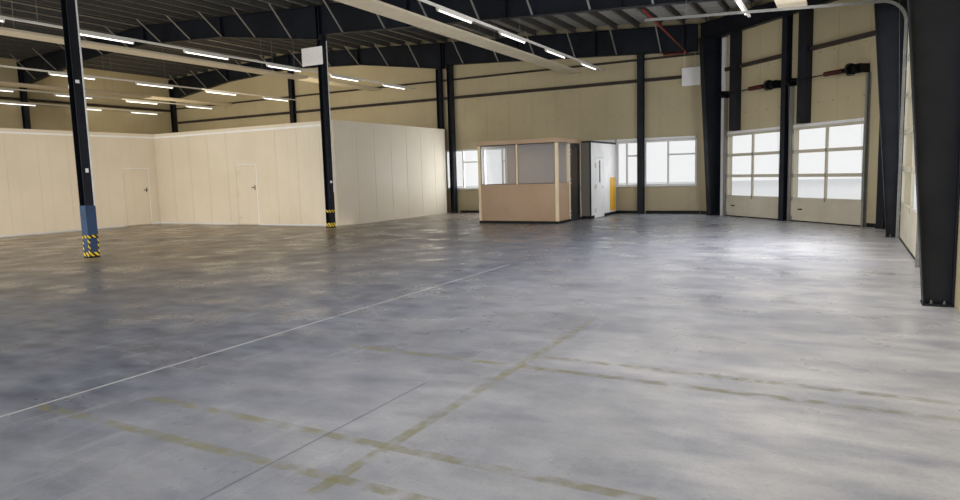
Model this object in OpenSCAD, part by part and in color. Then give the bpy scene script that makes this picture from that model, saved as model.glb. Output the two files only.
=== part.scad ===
// End section of a steel-framed factory hall: two aisles, three bays, a cut corner with loading doors.
// Millimetres, +Z up, origin in the middle of the underside of the floor slab.

/* [Hall grid] */
// Distance from the left to the middle column line
aisle_left = 17000; // [16400:100:17800]
// Distance from the middle to the right column line
aisle_right = 15750; // [15300:50:16500]
// Distance between neighbouring frames
bay = 8000; // [7600:100:8400]
// Distance from the last inner frame to the far frame
end_bay = 7500; // [7300:100:8000]
// How far the floor and the roof run past the near frame
near_overhang = 400; // [300:50:600]
// Leg of the cut corner, measured along the inner wall faces
corner_cut = 5590; // [5400:5:5750]

/* [Floor and outer walls] */
// Thickness of the floor slab
floor_t = 200; // [150:10:300]
// Thickness of the outer wall panels
wall_t = 120; // [80:10:160]
// Gap between the steel frame and the wall panels
wall_gap = 10; // [5:1:20]
// Cover width of one wall panel
panel_pitch = 1000; // [900:50:1150]
// Width of the groove at a panel joint
joint_w = 16; // [8:2:24]

/* [Steel frame] */
// Depth of a column section
col_d = 210; // [190:10:240]
// Flange width of a column section
col_w = 220; // [200:10:240]
// Depth of the tapered columns of the right wall at their feet
taper_low = 280; // [250:10:320]
// Depth of the tapered columns of the right wall at their heads
taper_high = 690; // [550:10:750]
// Depth of the tapered corner column at its foot
corner_low = 360; // [300:10:400]
// Depth of the tapered corner column at its head
corner_high = 720; // [550:10:800]
// Thickness of a flange
flange_t = 14; // [10:1:20]
// Thickness of a web
web_t = 10; // [8:1:14]
// Half the distance between the twin columns at the far end of the middle line
twin_off = 265; // [250:5:320]
// Top of the rafters over the middle columns, above the floor
valley_h = 7020; // [6900:10:7400]
// Slope of the roof
roof_pitch = 3; // [2:0.5:4]
// Depth of a left rafter at mid span
rafter_d = 680; // [600:10:760]
// Depth of a left rafter at its haunches
haunch_d = 1050; // [950:10:1150]
// Length of a haunch
haunch_len = 4400; // [3800:50:5000]
// Depth of a right rafter
girder_d = 900; // [800:10:940]
// How far a foot plate stands out past its column
foot_edge = 8; // [4:1:9]
// Thickness of a column's foot plate
foot_t = 25; // [15:1:40]
// Distance from a column's top to the plates between its flanges
cap_gap = 240; // [150:10:400]
// Height of the underside of the beam over the cut corner
beam_under = 5830; // [5700:10:5900]

/* [Roof] */
// Distance between purlins
purlin_pitch = 800; // [700:10:1000]
// Depth of a purlin
purlin_d = 200; // [160:10:240]
// Flange width of a purlin
purlin_w = 70; // [60:5:90]
// Sheet thickness of a purlin
purlin_t = 4; // [3:1:6]
// Depth of the trapezoidal deck
deck_d = 60; // [40:5:80]
// Distance between the ribs of the deck
deck_pitch = 400; // [300:20:500]
// Thickness of the insulation and its membrane
insulation_t = 180; // [120:10:240]
// Thickness of the edge trim
trim_t = 30; // [20:5:50]

/* [Windows] */
// Height of the window sills above the floor
sill_h = 1000; // [900:10:1100]
// Height of the window heads above the floor
head_h = 2630; // [2500:10:2800]
// Depth of a window frame
frame_d = 80; // [60:5:100]
// Face width of a window frame
frame_w = 60; // [50:5:80]
// Thickness of the window glass
glass_t = 24; // [16:2:32]

/* [Loading doors] */
// Clear width of a loading door
dock_w = 2400; // [2300:10:2450]
// Clear height of a loading door
dock_h = 2600; // [2500:10:2750]
// Height of a loading door's closed bottom section
dock_low = 640; // [500:10:700]
// Distance from the far end of the cut wall to the first loading door
dock_first = 1560; // [1540:10:1600]
// Distance between the two loading doors
dock_between = 560; // [500:10:620]
// Height of the loading doors' spring shaft
dock_shaft_h = 3950; // [3850:10:4200]

/* [Gate] */
// Clear width of the gate in the right wall
gate_w = 4500; // [4200:50:4600]
// Clear height of the gate
gate_h = 4400; // [4250:10:4450]
// Height of the gate's closed bottom section
gate_low = 720; // [600:10:850]
// Distance from the gate to the last inner frame
gate_off = 270; // [265:5:400]
// Thickness of the leaf of a gate or a loading door
leaf_t = 50; // [40:1:60]

/* [Enclosure] */
// Height of the white enclosure
room_h = 3400; // [3200:10:3600]
// Thickness of its panels
room_t = 100; // [80:5:120]
// Length of its front face, from the middle column line
room_front = 9165; // [8900:5:9500]
// Distance from the last inner frame to its front face
room_set = 400; // [360:10:600]
// Width of its doorways
room_door_w = 1000; // [900:10:1100]
// Height of its doorways
room_door_h = 2150; // [2050:10:2250]

/* [Office] */
// Width of the glazed office
office_w = 2780; // [2600:10:3000]
// Length of the glazed office
office_l = 2080; // [1900:10:2200]
// Height of the glazed office
office_h = 2640; // [2500:10:2800]
// Height of its closed lower walls
office_low = 1250; // [1100:10:1350]
// Side of its posts
post_w = 90; // [70:5:110]
// Thickness of its wall boards
board_t = 40; // [30:5:60]
// Height of its dark base
base_h = 80; // [60:5:120]

/* [Store cabin] */
// Width of the store cabin behind the office
cabin_w = 2300; // [2000:50:2600]
// Height of the store cabin
cabin_h = 2600; // [2400:10:2700]
// Thickness of its walls
cabin_t = 60; // [50:5:80]

/* [Doors] */
// Thickness of a hinged door leaf
door_t = 50; // [40:5:60]
// Clearance round a hinged door leaf
door_gap = 8; // [6:1:12]
// Distance from a hinge pin to the door's face
pin_off = 14; // [12:1:18]

/* [Services] */
// Height of the underside of the radiant panels and the light lines
services_h = 5150; // [4950:10:5250]
// Width of a radiant ceiling panel
heater_w = 600; // [450:10:750]
// Thickness of a radiant ceiling panel
heater_t = 55; // [45:5:70]
// Width of a light line
light_w = 64; // [50:2:90]
// Length of one lamp in a light line
lamp_l = 1500; // [1200:50:1800]
// Distance from one lamp to the next
lamp_pitch = 3000; // [2600:50:3600]
// Radius of a hanger rod
rod_r = 5; // [4:0.5:8]

/* [Hidden] */
$fn = 24;

// Clearance that keeps neighbouring pieces apart
seat = 0.3;
slope = tan(roof_pitch);
edge = col_d / 2 + wall_gap + wall_t;
hall_w = aisle_left + aisle_right + 2 * edge;
hall_l = near_overhang + 2 * bay + end_bay + col_w / 2 + wall_gap + wall_t;
line_a = -hall_w / 2 + edge;
line_b = line_a + aisle_left;
line_c = line_b + aisle_right;
ridge_x = line_a + aisle_left / 2;
near_y = -hall_l / 2;
row_0 = near_y + near_overhang;
row_1 = row_0 + bay;
row_2 = row_1 + bay;
row_3 = row_2 + end_bay;
rows = [row_0, row_1, row_2, row_3];
inner_l = line_a - col_d / 2 - wall_gap;
inner_r = line_c + col_d / 2 + wall_gap;
inner_f = row_3 + col_w / 2 + wall_gap;
outer_l = inner_l - wall_t;
outer_r = inner_r + wall_t;
outer_f = inner_f + wall_t;
// Where the cut corner leaves the far wall and the right wall, inside
corner_x = inner_r - corner_cut;
corner_y = inner_f - corner_cut;
cut_len = corner_cut * sqrt(2);
// How much further out the cut wall's outer face meets the other walls
cut_shift = wall_t * (sqrt(2) - 1);
ridge_h = valley_h + slope * aisle_left / 2;
skin = purlin_d + deck_d + insulation_t;

// Height of the top of the rafters at a place x, above the underside of the slab
function steel_z(x) = floor_t + valley_h
    + (x <= ridge_x ? slope * (x - line_a) : slope * (line_b - x));
// Height of the underside of the deck
function deck_z(x) = steel_z(x) + purlin_d / cos(roof_pitch) + seat;
// The line that the roof follows from one x to another, raised by up
function roof_line(x1, x2, up) = concat(
    [[x1, steel_z(x1) + up]],
    (x1 < ridge_x && x2 > ridge_x) ? [[ridge_x, steel_z(ridge_x) + up]] : [],
    [[x2, steel_z(x2) + up]]
);
function reversed(list) = [for (i = [len(list) - 1 : -1 : 0]) list[i]];

// Outline in plan of the hall, grown or shrunk by out from the inner faces
function hall_plan(out, near) = [
    [inner_l - out, near],
    [inner_r + out, near],
    [inner_r + out, corner_y + out * (sqrt(2) - 1)],
    [corner_x + out * (sqrt(2) - 1), inner_f + out],
    [inner_l - out, inner_f + out]
];

// An upright I section with its web along x
module i_section(d, w, h) {
    linear_extrude(h) {
        translate([-d / 2, -w / 2]) square([flange_t, w]);
        translate([d / 2 - flange_t, -w / 2]) square([flange_t, w]);
        translate([-d / 2 + flange_t / 2, -web_t / 2]) square([d - flange_t, web_t]);
    }
}

// A column on its foot plate, with plates between the flanges at the top
module column(h, w = col_w) {
    linear_extrude(foot_t) square([col_d + 2 * foot_edge, w + 2 * foot_edge], center = true);
    translate([0, 0, foot_t]) i_section(col_d, w, h - foot_t);
    for (z = [h - flange_t, h - cap_gap])
        translate([0, 0, z]) linear_extrude(flange_t) square([col_d - 2, w - 2], center = true);
}

// A column that grows deeper upwards, its straight outer flange at x = 0 and its top rising inwards
module tapered_column(h, low, high, rise) {
    h_in = h + rise * high;
    linear_extrude(foot_t) translate([-low - foot_edge, -col_w / 2 - foot_edge])
        square([low + 2 * foot_edge, col_w + 2 * foot_edge]);
    upright([[-flange_t, foot_t], [0, foot_t], [0, h], [-flange_t, h + rise * flange_t]], col_w);
    upright([
        [-low, foot_t], [-low + flange_t, foot_t],
        [-high + flange_t, h_in - flange_t], [-high, h_in]
    ], col_w);
    upright([[-low + 1, foot_t], [-1, foot_t], [-1, h - flange_t], [-high + 1, h_in - flange_t]], web_t);
    // Plates at the head and between the flanges below it
    upright([[-high, h_in - flange_t], [0, h - flange_t], [0, h], [-high, h_in]], col_w);
    upright([
        [-high + 40, h_in - taper_cap - flange_t], [-1, h_in - taper_cap - flange_t],
        [-1, h_in - taper_cap], [-high + 40, h_in - taper_cap]
    ], col_w - 4);
}
taper_cap = 500;

// A slab that stands in the xz plane, from its outline
module upright(points, t) {
    rotate([90, 0, 0]) linear_extrude(t, center = true) polygon(points);
}

// A row of wall panels along x, with a groove at every joint on both faces
module panel_wall(length, t, h) {
    groove = 6;
    difference() {
        cube([length, t, h]);
        for (x = [panel_pitch : panel_pitch : length - joint_w])
            for (y = [-1, t - groove])
                translate([x - joint_w / 2, y, -1]) cube([joint_w, groove + 1, h + 2]);
    }
}

// Places children on the cut wall: x runs along it from the far end, y points out of the hall
module on_cut() {
    translate([corner_x, inner_f, 0]) rotate([0, 0, -45]) children();
}

module floor_slab() {
    color("slategray") linear_extrude(floor_t - seat) polygon(hall_plan(wall_t, near_y));
}

// Columns at x in the first frames, up to the underside of the rafters that rest on them
module column_row(x, last, under) {
    for (i = [0 : last]) translate([x, rows[i], floor_t]) column(under - floor_t - seat);
}
module columns_left() {
    color("midnightblue") column_row(line_a, 3, steel_z(line_a - col_d / 2) - haunch_d);
}
// The middle line ends in twin columns, one under each aisle's far rafter
module columns_middle() {
    left_top = under_z(line_b - twin_off + col_d / 2) - grade(line_b - 1) * 20;
    right_top = steel_z(line_b + twin_off + col_d / 2) - girder_d;
    color("midnightblue") {
        column_row(line_b, 2, steel_z(line_b) - haunch_d);
        translate([line_b - twin_off, row_3, floor_t]) column(left_top - floor_t - seat);
        translate([line_b + twin_off, row_3, floor_t]) column(right_top - floor_t - seat);
    }
}
module columns_right() {
    face = line_c + col_d / 2;
    color("midnightblue") for (i = [0 : 2]) translate([face, rows[i], floor_t])
        tapered_column(steel_z(face) - girder_d - floor_t - seat, taper_low, taper_high, slope);
}

// Posts that carry the far wall between the frame's columns
far_posts = [line_a + aisle_left / 2, line_b + 8200];
module gable_posts() {
    color("midnightblue") for (x = far_posts) {
        under = x < line_b ? rafter_d : girder_d;
        h = steel_z(x) - floor_t - under - slope * col_w - 2 * seat;
        translate([x, row_3, floor_t]) rotate([0, 0, 90]) column(h);
    }
}

// Places on the cut wall of the corner column, the column between the doors and the end column
corner_posts = [
    dock_first - 540,
    dock_first + dock_w + dock_between / 2,
    cut_len - 260
];
corner_widths = [col_w, 180, col_w];
module corner_columns() {
    color("midnightblue") on_cut() {
        translate([corner_posts[0], -wall_gap, floor_t]) rotate([0, 0, 90])
            tapered_column(beam_under - seat, corner_low, corner_high, 0);
        for (i = [1, 2]) translate([corner_posts[i], -col_d / 2 - wall_gap, floor_t]) rotate([0, 0, 90])
            column(beam_under - seat, corner_widths[i]);
    }
}

// A list of points raised by up, and the band of thickness t over a line of points
function shifted(list, up) = [for (p = list) [p[0], p[1] + up]];
function strip(list, t) = concat(list, reversed(shifted(list, t)));

// Stiffeners stand on both sides of a web
module stiffener(x, bottom, top) {
    translate([x - flange_t / 2, -col_w / 2 + 2, bottom]) cube([flange_t, col_w - 4, top - bottom]);
}

module rafters_left() {
    left = line_a - col_d / 2;
    right = line_b - seat;
    lower = [
        [left, steel_z(left) - haunch_d],
        [left + haunch_len, steel_z(left + haunch_len) - rafter_d],
        [ridge_x, steel_z(ridge_x) - rafter_d],
        [right - haunch_len, steel_z(right - haunch_len) - rafter_d],
        [right, steel_z(line_b) - haunch_d]
    ];
    upper = roof_line(left, right, -flange_t - seat);
    color("midnightblue") for (y = rows) translate([0, y, 0]) {
        upright(concat(upper, reversed(shifted(lower, flange_t / 2))), web_t);
        upright(strip(upper, flange_t), col_w);
        upright(strip(lower, flange_t), col_w);
        for (x = [left + haunch_len, ridge_x, right - haunch_len])
            stiffener(x, steel_z(x) - rafter_d + flange_t / 2, steel_z(x) - flange_t);
        for (x = [left + flange_t / 2, left + col_d, right - col_d / 2, right - flange_t / 2])
            stiffener(x, steel_z(x) - haunch_d + 2 * flange_t, steel_z(x) - flange_t);
    }
}

module right_rafter(y, last) {
    first = line_b + seat;
    upper = [[first, steel_z(first) - flange_t - seat], [last, steel_z(last) - flange_t - seat]];
    lower = [[first, steel_z(first) - girder_d], [last, steel_z(last) - girder_d]];
    ends = [first + flange_t / 2, last - flange_t / 2];
    translate([0, y, 0]) {
        upright(concat(upper, reversed(shifted(lower, flange_t / 2))), web_t);
        upright(strip(upper, flange_t), col_w);
        upright(strip(lower, flange_t), col_w);
        // Under every fourth purlin, where no brace lands
        for (x = concat(ends, [for (k = [4 : 4 : right_runs]) if (purlin_x(k) < last - 200) purlin_x(k)]))
            stiffener(x, steel_z(x) - girder_d + flange_t / 2, steel_z(x) - flange_t);
    }
}
module rafters_right() {
    color("midnightblue") {
        for (i = [0 : 2]) right_rafter(rows[i], line_c + col_d / 2);
        right_rafter(row_3, corner_x - col_w / 2);
        // Seat that fills the step between the middle column and the shallower right rafter
        for (i = [0 : 2]) let (y = rows[i]) translate([line_b + seat, y - col_w / 2, 0])
            translate([0, 0, steel_z(line_b) - haunch_d])
                cube([col_d / 2 - seat, col_w, haunch_d - girder_d - 6]);
    }
}

// Start of each loading door along the cut wall, and the post that hangs over it
function dock_at(i) = dock_first + i * (dock_w + dock_between);
function hang_at(i) = dock_at(i) + hang_in;
hang_in = 430;
hang_w = 300;
hang_d = 220;
hang_t = 12;
// Edge beam over the cut wall, from the far rafter to the right wall, and the posts over the doors
module corner_beam() {
    bottom = floor_t + beam_under;
    first = 120;
    last = cut_len - 160;
    function top_at(s) = steel_z(corner_x + s / sqrt(2) + col_w / sqrt(2)) - 2 * seat - 4;
    color("midnightblue") on_cut() {
        translate([0, -col_d / 2 - wall_gap, 0]) {
            upright([[first, bottom], [last, bottom], [last, top_at(last)], [first, top_at(first)]], web_t);
            upright([
                [first, bottom], [last, bottom], [last, bottom + flange_t], [first, bottom + flange_t]
            ], col_d);
            upright([
                [first, top_at(first) - flange_t], [last, top_at(last) - flange_t],
                [last, top_at(last)], [first, top_at(first)]
            ], col_d);
        }
        // Posts that hang from the beam down to the door heads
        for (i = [0 : 1]) {
            s = hang_at(i);
            bottom_z = floor_t + dock_h + 160;
            translate([s, -wall_gap - hang_d / 2, bottom_z]) linear_extrude(bottom - bottom_z + flange_t / 2)
                difference() {
                    square([hang_w, hang_d], center = true);
                    square([hang_w - 2 * hang_t, hang_d - 2 * hang_t], center = true);
                }
        }
    }
}

// A purlin in the roof's own slope: u down the slope, v along the hall, w square to the roof
module purlin(length) {
    rotate([-90, 0, 0]) translate([0, -purlin_d, 0]) linear_extrude(length) {
        square([purlin_t, purlin_d]);
        square([purlin_w, purlin_t]);
        translate([0, purlin_d - purlin_t]) square([purlin_w, purlin_t]);
        translate([purlin_w - purlin_t, 0]) square([purlin_t, 20]);
        translate([purlin_w - purlin_t, purlin_d - 20]) square([purlin_t, 20]);
    }
}
// Turns the xz plane at x0 into the roof's slope, falling to the right or to the left
module on_slope(x0, falls_right) {
    translate([x0, 0, steel_z(x0)]) rotate([0, falls_right ? roof_pitch : -roof_pitch, 0]) children();
}
// Start of the right purlins from the middle column line, and the place in x of the middle of each
right_first = 120;
function purlin_x(k) = line_b + (right_first + k * purlin_pitch + purlin_w / 2) * cos(roof_pitch);
// Where a purlin at x has to stop so that it clears the far wall or the cut wall
function purlin_end(x) =
    min(inner_f - 5, corner_x + inner_f - x - purlin_w - 5 - (x > corner_x - 400 ? 5 : 0));
left_runs = floor((aisle_left / 2 - purlin_w - 100) / purlin_pitch);
right_runs = floor((aisle_right - purlin_w) / purlin_pitch);

module purlins_left() {
    color("gray") for (side = [0, 1]) for (i = [0 : left_runs]) {
        // Both halves of the left roof start at the ridge
        x = 100 + i * purlin_pitch;
        on_slope(ridge_x, side == 1)
            translate([side == 1 ? x : -x - purlin_w, near_y + 5, 0]) purlin(inner_f - near_y - 10);
    }
}
module purlins_right() {
    color("gray") for (i = [0 : right_runs]) {
        x = right_first + i * purlin_pitch;
        on_slope(line_b, true) translate([x, near_y + 5, 0])
            purlin(purlin_end(line_b + x) - near_y - 5);
    }
}

// How deep a left rafter is at x, and how steep the underside of any rafter is there
function end_gap(x) = min(x - line_a + col_d / 2, line_b - x);
function left_depth(x) = end_gap(x) > haunch_len
    ? rafter_d : haunch_d - (haunch_d - rafter_d) * end_gap(x) / haunch_len;
function grade(x) = slope
    + (x < line_b && end_gap(x) < haunch_len + 100 ? (haunch_d - rafter_d) / haunch_len : 0);
// Height of the underside of the rafters at a place x
function under_z(x) = steel_z(x) - (x > line_b ? girder_d : left_depth(x));

// Braces from the bottom flange of a rafter up to the purlins
brace_w = 45;
brace_reach = 900;
module brace(x, y, side) {
    bottom = under_z(x) + flange_t + grade(x) * brace_w / 2 + seat;
    top = steel_z(x) - slope * brace_w / 2 - 2 * seat;
    y1 = y + side * (col_w / 2 - brace_w);
    y2 = y1 + side * brace_reach;
    translate([x, 0, 0]) rotate([90, 0, 90]) linear_extrude(brace_w, center = true)
        polygon([[y1, bottom], [y1 + side * brace_w, bottom], [y2 + side * brace_w, top], [y2, top]]);
}
module fly_braces() {
    color("silver") for (i = [0 : 3]) for (side = i == 0 ? [1] : i == 3 ? [-1] : [-1, 1]) {
        for (k = [1 : 2 : right_runs - 1]) {
            x = purlin_x(k);
            if (i < 3 || x < corner_x - 600) brace(x, rows[i], side);
        }
        for (hand = [-1, 1]) for (k = [1 : 2 : left_runs - 1]) {
            x = ridge_x + hand * (100 + k * purlin_pitch + purlin_w / 2) * cos(roof_pitch);
            brace(x, rows[i], side);
        }
    }
}

// Clips the roof to the hall's plan
module roof_plan(up) {
    intersection() {
        children();
        translate([0, 0, floor_t]) linear_extrude(ridge_h + skin + 500)
            polygon(hall_plan(wall_t - up, near_y + up));
    }
}
module deck_half(length, falls_right) {
    crest = deck_pitch * 0.62;
    run = deck_pitch * 0.1;
    sheet = 3;
    count = ceil(hall_l / deck_pitch) + 1;
    wave = [
        for (i = [0 : count - 1]) for (p = [
            [0, 0], [deck_pitch - crest - 2 * run, 0],
            [deck_pitch - crest - run, deck_d - sheet], [deck_pitch - run, deck_d - sheet]
        ]) [p[0] + i * deck_pitch, p[1]]
    ];
    outline = concat(wave, reversed([for (p = wave) [p[0] + 1, p[1] + sheet]]));
    translate([falls_right ? 0 : -length, near_y, purlin_d + seat])
        rotate([90, 0, 90]) linear_extrude(length) polygon(outline);
}
module roof_deck() {
    half = aisle_left / 2 / cos(roof_pitch);
    color("gainsboro") roof_plan(0) {
        on_slope(ridge_x, false) deck_half(half + edge + 10, false);
        on_slope(ridge_x, true) deck_half(half + (aisle_right + edge) / cos(roof_pitch) + 10, true);
    }
}
// The two sides of the ridge, as spans of x
roof_spans = [[outer_l, ridge_x - seat], [ridge_x + seat, outer_r]];
module roof_insulation() {
    low = purlin_d / cos(roof_pitch) + deck_d + 2;
    color("dimgray") for (span = roof_spans) roof_plan(0) translate([0, near_y + hall_l / 2, 0])
        upright(strip(roof_line(span[0], span[1], low), insulation_t), hall_l);
}
// The trim's corners in plan, on a line that far outside the walls
function trim_line(out) = hall_plan(wall_t + out, near_y - out);
// Keeps what lies between two heights over the steel
module roof_band(low, high) {
    reach = 500;
    intersection() {
        children();
        upright(concat(
            roof_line(outer_l - reach, outer_r + reach, low),
            reversed(roof_line(outer_l - reach, outer_r + reach, high))
        ), 2 * hall_l);
    }
}
// One length of trim for each wall, mitred at the corners, with a joint over the ridge
module roof_trim() {
    inner = trim_line(seat);
    outer = trim_line(trim_t);
    last = len(inner) - 1;
    color("slategray") roof_band(purlin_d - 60, skin + 70) difference() {
        linear_extrude(floor_t + ridge_h + skin + 400) difference() {
            polygon(outer);
            polygon(inner);
            for (i = [0 : last]) {
                dir = (outer[i] - inner[i]) / norm(outer[i] - inner[i]);
                side = [-dir[1], dir[0]] * seat / 2;
                polygon([
                    inner[i] - 9 * dir + side, inner[i] - 9 * dir - side,
                    outer[i] + 9 * dir - side, outer[i] + 9 * dir + side
                ]);
            }
        }
        translate([ridge_x - seat / 2, -hall_l, 0]) cube([seat, 2 * hall_l, 2 * ridge_h]);
    }
}

// Cuts a wall off under the roof
module under_roof() {
    difference() {
        children();
        upright(concat(
            roof_line(outer_l - 500, outer_r + 500, purlin_d / cos(roof_pitch) - seat),
            [[outer_r + 500, 20000], [outer_l - 500, 20000]]
        ), 2 * hall_l);
    }
}
wall_high = ridge_h + purlin_d + 200;

module party_wall() {
    color("beige") under_roof() translate([outer_l, outer_f, floor_t]) rotate([0, 0, -90])
        panel_wall(hall_l, wall_t, wall_high);
}

// Window bands of the far wall and the windows in them: start and width, from the middle column line
bands = [[-150, 8235], [8295, 1850]];
window_list = [[-150, 1800], [1650, 1870], [3520, 1870], [5390, 1870], [7260, 825], [8295, 1850]];
module window_holes(out) {
    for (w = bands)
        translate([line_b + w[0] + out, inner_f - 200, floor_t + sill_h + out])
            cube([w[1] - 2 * out, wall_t + 400, head_h - sill_h - 2 * out]);
}
module far_wall() {
    length = corner_x - inner_l - seat;
    color("beige") under_roof() difference() {
        translate([inner_l + seat, inner_f, floor_t]) panel_wall(length, wall_t, wall_high);
        window_holes(0);
    }
}

module corner_wall() {
    far_skew = wall_t * tan(22.5);
    color("beige") under_roof() difference() {
        on_cut() translate([seat, 0, floor_t]) panel_wall(cut_len - 2 * seat, wall_t, wall_high);
        on_cut() for (i = [0 : 1])
            translate([dock_at(i), -50, floor_t - 1]) cube([dock_w, wall_t + 100, dock_h + 1]);
    }
    // Corner pieces that close the two bends of the wall outside
    color("beige") under_roof() translate([0, 0, floor_t]) linear_extrude(wall_high) {
        polygon([
            [corner_x + seat, inner_f + 2 * seat],
            [corner_x + wall_t / sqrt(2), inner_f + wall_t / sqrt(2) + seat],
            [corner_x + far_skew, outer_f], [corner_x + seat, outer_f]
        ]);
        polygon([
            [inner_r + 2 * seat, corner_y + seat], [outer_r, corner_y + seat],
            [outer_r, corner_y + far_skew], [inner_r + wall_t / sqrt(2) + seat, corner_y + wall_t / sqrt(2)]
        ]);
    }
}

gate_far = row_2 - gate_off;
gate_near = gate_far - gate_w;
module right_wall() {
    length = corner_y - near_y;
    color("beige") under_roof() difference() {
        translate([outer_r, near_y, floor_t]) rotate([0, 0, 90]) panel_wall(length, wall_t, wall_high);
        translate([inner_r - 50, gate_near, floor_t - 1]) cube([wall_t + 100, gate_w, gate_h + 1]);
    }
}

// Girts inside the far and cut walls, between the posts
far_girts = [[4720, 110], [5480, 70]];
cut_girt_h = 4700;
side_girts = [3700, 5350];
girt = 110;
module girt_run(length, z, size = girt) {
    translate([0, -size - seat, floor_t + z]) cube([length, size, size]);
}
module wall_girts() {
    post = col_w / 2 + seat;
    column = col_d / 2 + seat;
    hanger = hang_w / 2 + seat;
    color("dimgray") {
        spans = [
            [line_a + column, far_posts[0] - post],
            [far_posts[0] + post, line_b - twin_off - column],
            [line_b - twin_off + column, line_b + twin_off - column],
            [line_b + twin_off + column, far_posts[1] - post],
            [far_posts[1] + post, corner_x - 60]
        ];
        for (g = far_girts) for (span = spans)
            translate([span[0], inner_f, 0]) girt_run(span[1] - span[0], g[0], g[1]);
        on_cut() {
            starts = [duct_at + duct_w + seat, hang_at(0) + hanger, hang_at(1) + hanger];
            ends = [
                hang_at(0) - hanger,
                corner_posts[1] - corner_widths[1] / 2 - seat,
                corner_posts[2] - post
            ];
            for (i = [0 : 2]) translate([starts[i], 0, 0]) girt_run(ends[i] - starts[i], cut_girt_h);
        }
        for (i = [0 : 2]) for (z = side_girts) {
            length = rows[i + 1] - rows[i] - 2 * post;
            translate([inner_l + seat, rows[i] + post, floor_t + z]) cube([girt, length, girt]);
            if (i == 0 || (i == 1 && z > gate_h))
                translate([inner_r - seat - girt, rows[i] + post, floor_t + z]) cube([girt, length, girt]);
        }
    }
}

// A window frame with one mullion, and a transom in its right light
module window_frame(w, h) {
    mid = w * 0.46;
    cross = h * 0.68;
    difference() {
        cube([w, frame_d, h]);
        translate([frame_w, -1, frame_w]) cube([mid - 1.5 * frame_w, frame_d + 2, h - 2 * frame_w]);
        translate([mid + frame_w / 2, -1, frame_w])
            cube([w - mid - 1.5 * frame_w, frame_d + 2, cross - 1.5 * frame_w]);
        translate([mid + frame_w / 2, -1, cross + frame_w / 2])
            cube([w - mid - 1.5 * frame_w, frame_d + 2, h - cross - 1.5 * frame_w]);
    }
}
module window_panes(w, h) {
    mid = w * 0.46;
    cross = h * 0.68;
    s = seat;
    y = (frame_d - glass_t) / 2;
    translate([frame_w + s, y, frame_w + s])
        cube([mid - 1.5 * frame_w - 2 * s, glass_t, h - 2 * frame_w - 2 * s]);
    translate([mid + frame_w / 2 + s, y, frame_w + s])
        cube([w - mid - 1.5 * frame_w - 2 * s, glass_t, cross - 1.5 * frame_w - 2 * s]);
    translate([mid + frame_w / 2 + s, y, cross + frame_w / 2 + s])
        cube([w - mid - 1.5 * frame_w - 2 * s, glass_t, h - cross - 1.5 * frame_w - 2 * s]);
}
module at_window(w) {
    translate([line_b + w[0] + seat, inner_f + 10, floor_t + sill_h + seat]) children();
}
module window_frames() {
    color("white") for (w = window_list)
        at_window(w) window_frame(w[1] - 2 * seat, head_h - sill_h - 2 * seat);
}
module window_glass() {
    color("lightblue", 0.4) for (w = window_list)
        at_window(w) window_panes(w[1] - 2 * seat, head_h - sill_h - 2 * seat);
}

// A sectional leaf: a closed bottom section, then rows of glazed sections, two panes wide
leaf_lap = 60;
stile = 70;
rail = 45;
function leaf_rows(h, low, target) = round((h + leaf_lap - low) / target);
module section_panes(w, h, low, count, grow, t) {
    full = w + 2 * leaf_lap;
    row_h = (h + leaf_lap - low) / count;
    pane_w = (full - 3 * stile) / 2;
    for (r = [0 : count - 1]) for (c = [0 : 1])
        translate([stile + c * (pane_w + stile) - grow, -1, low + r * row_h + rail - grow])
            cube([pane_w + 2 * grow, t, row_h - 2 * rail + 2 * grow]);
}
module section_leaf(w, h, low, count) {
    full = w + 2 * leaf_lap;
    row_h = (h + leaf_lap - low) / count;
    difference() {
        cube([full, leaf_t, h + leaf_lap]);
        section_panes(w, h, low, count, 0, leaf_t + 2);
        for (r = [0 : count - 1]) for (y = [-1, leaf_t - 4])
            translate([-1, y, low + r * row_h - 3]) cube([full + 2, 5, 6]);
    }
}
module section_glass(w, h, low, count) {
    intersection() {
        section_panes(w, h, low, count, -seat, leaf_t);
        translate([0, leaf_t / 2 - 10, 0]) cube([w + 2 * leaf_lap, 20, h + leaf_lap]);
    }
}
// Puts a leaf's own frame behind a loading door's opening
module at_dock(i) {
    on_cut() translate([dock_at(i) - leaf_lap, -leaf_t - seat, floor_t]) children();
}
dock_rows = leaf_rows(dock_h, dock_low, 700);
module loading_doors() {
    color("gainsboro") for (i = [0 : 1]) at_dock(i) section_leaf(dock_w, dock_h, dock_low, dock_rows);
}
module loading_door_glass() {
    color("lightblue", 0.4) for (i = [0 : 1]) at_dock(i) section_glass(dock_w, dock_h, dock_low, dock_rows);
}

// An upright track with its angle, and a shaft with springs and drums above
track_w = 60;
track_d = 120;
module track(h) {
    linear_extrude(h) {
        translate([0, -track_d]) square([plate_t, track_d]);
        translate([0, -track_d]) square([track_w, plate_t]);
        translate([0, -plate_t]) square([track_w, plate_t]);
    }
}
shaft_r = 17;
drum_l = 110;
// The shaft stands this far inside the wall, and its bearing plates are this thick
shaft_off = 270;
plate_t = 8;
module drum(r, length) {
    cylinder(r = r - 15, h = length);
    for (z = [0, length - 30]) translate([0, 0, z]) cylinder(r = r, h = 30);
}
// A shaft with a drum at each end, a hoist beside the last one and a spring
module shaft(length) {
    hoist_l = 170;
    rotate([0, 90, 0]) {
        cylinder(r = shaft_r, h = length);
        translate([0, 0, 60]) drum(90, drum_l);
        translate([0, 0, length - 60 - drum_l]) drum(120, drum_l);
        translate([0, 0, length - 80 - drum_l - hoist_l]) cylinder(r = 150, h = 60);
        translate([0, 0, length - 80 - drum_l - hoist_l + 59]) cylinder(r = 85, h = hoist_l - 59);
        translate([0, 0, length * 0.56]) cylinder(r = 55, h = length * 0.24);
    }
}
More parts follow.
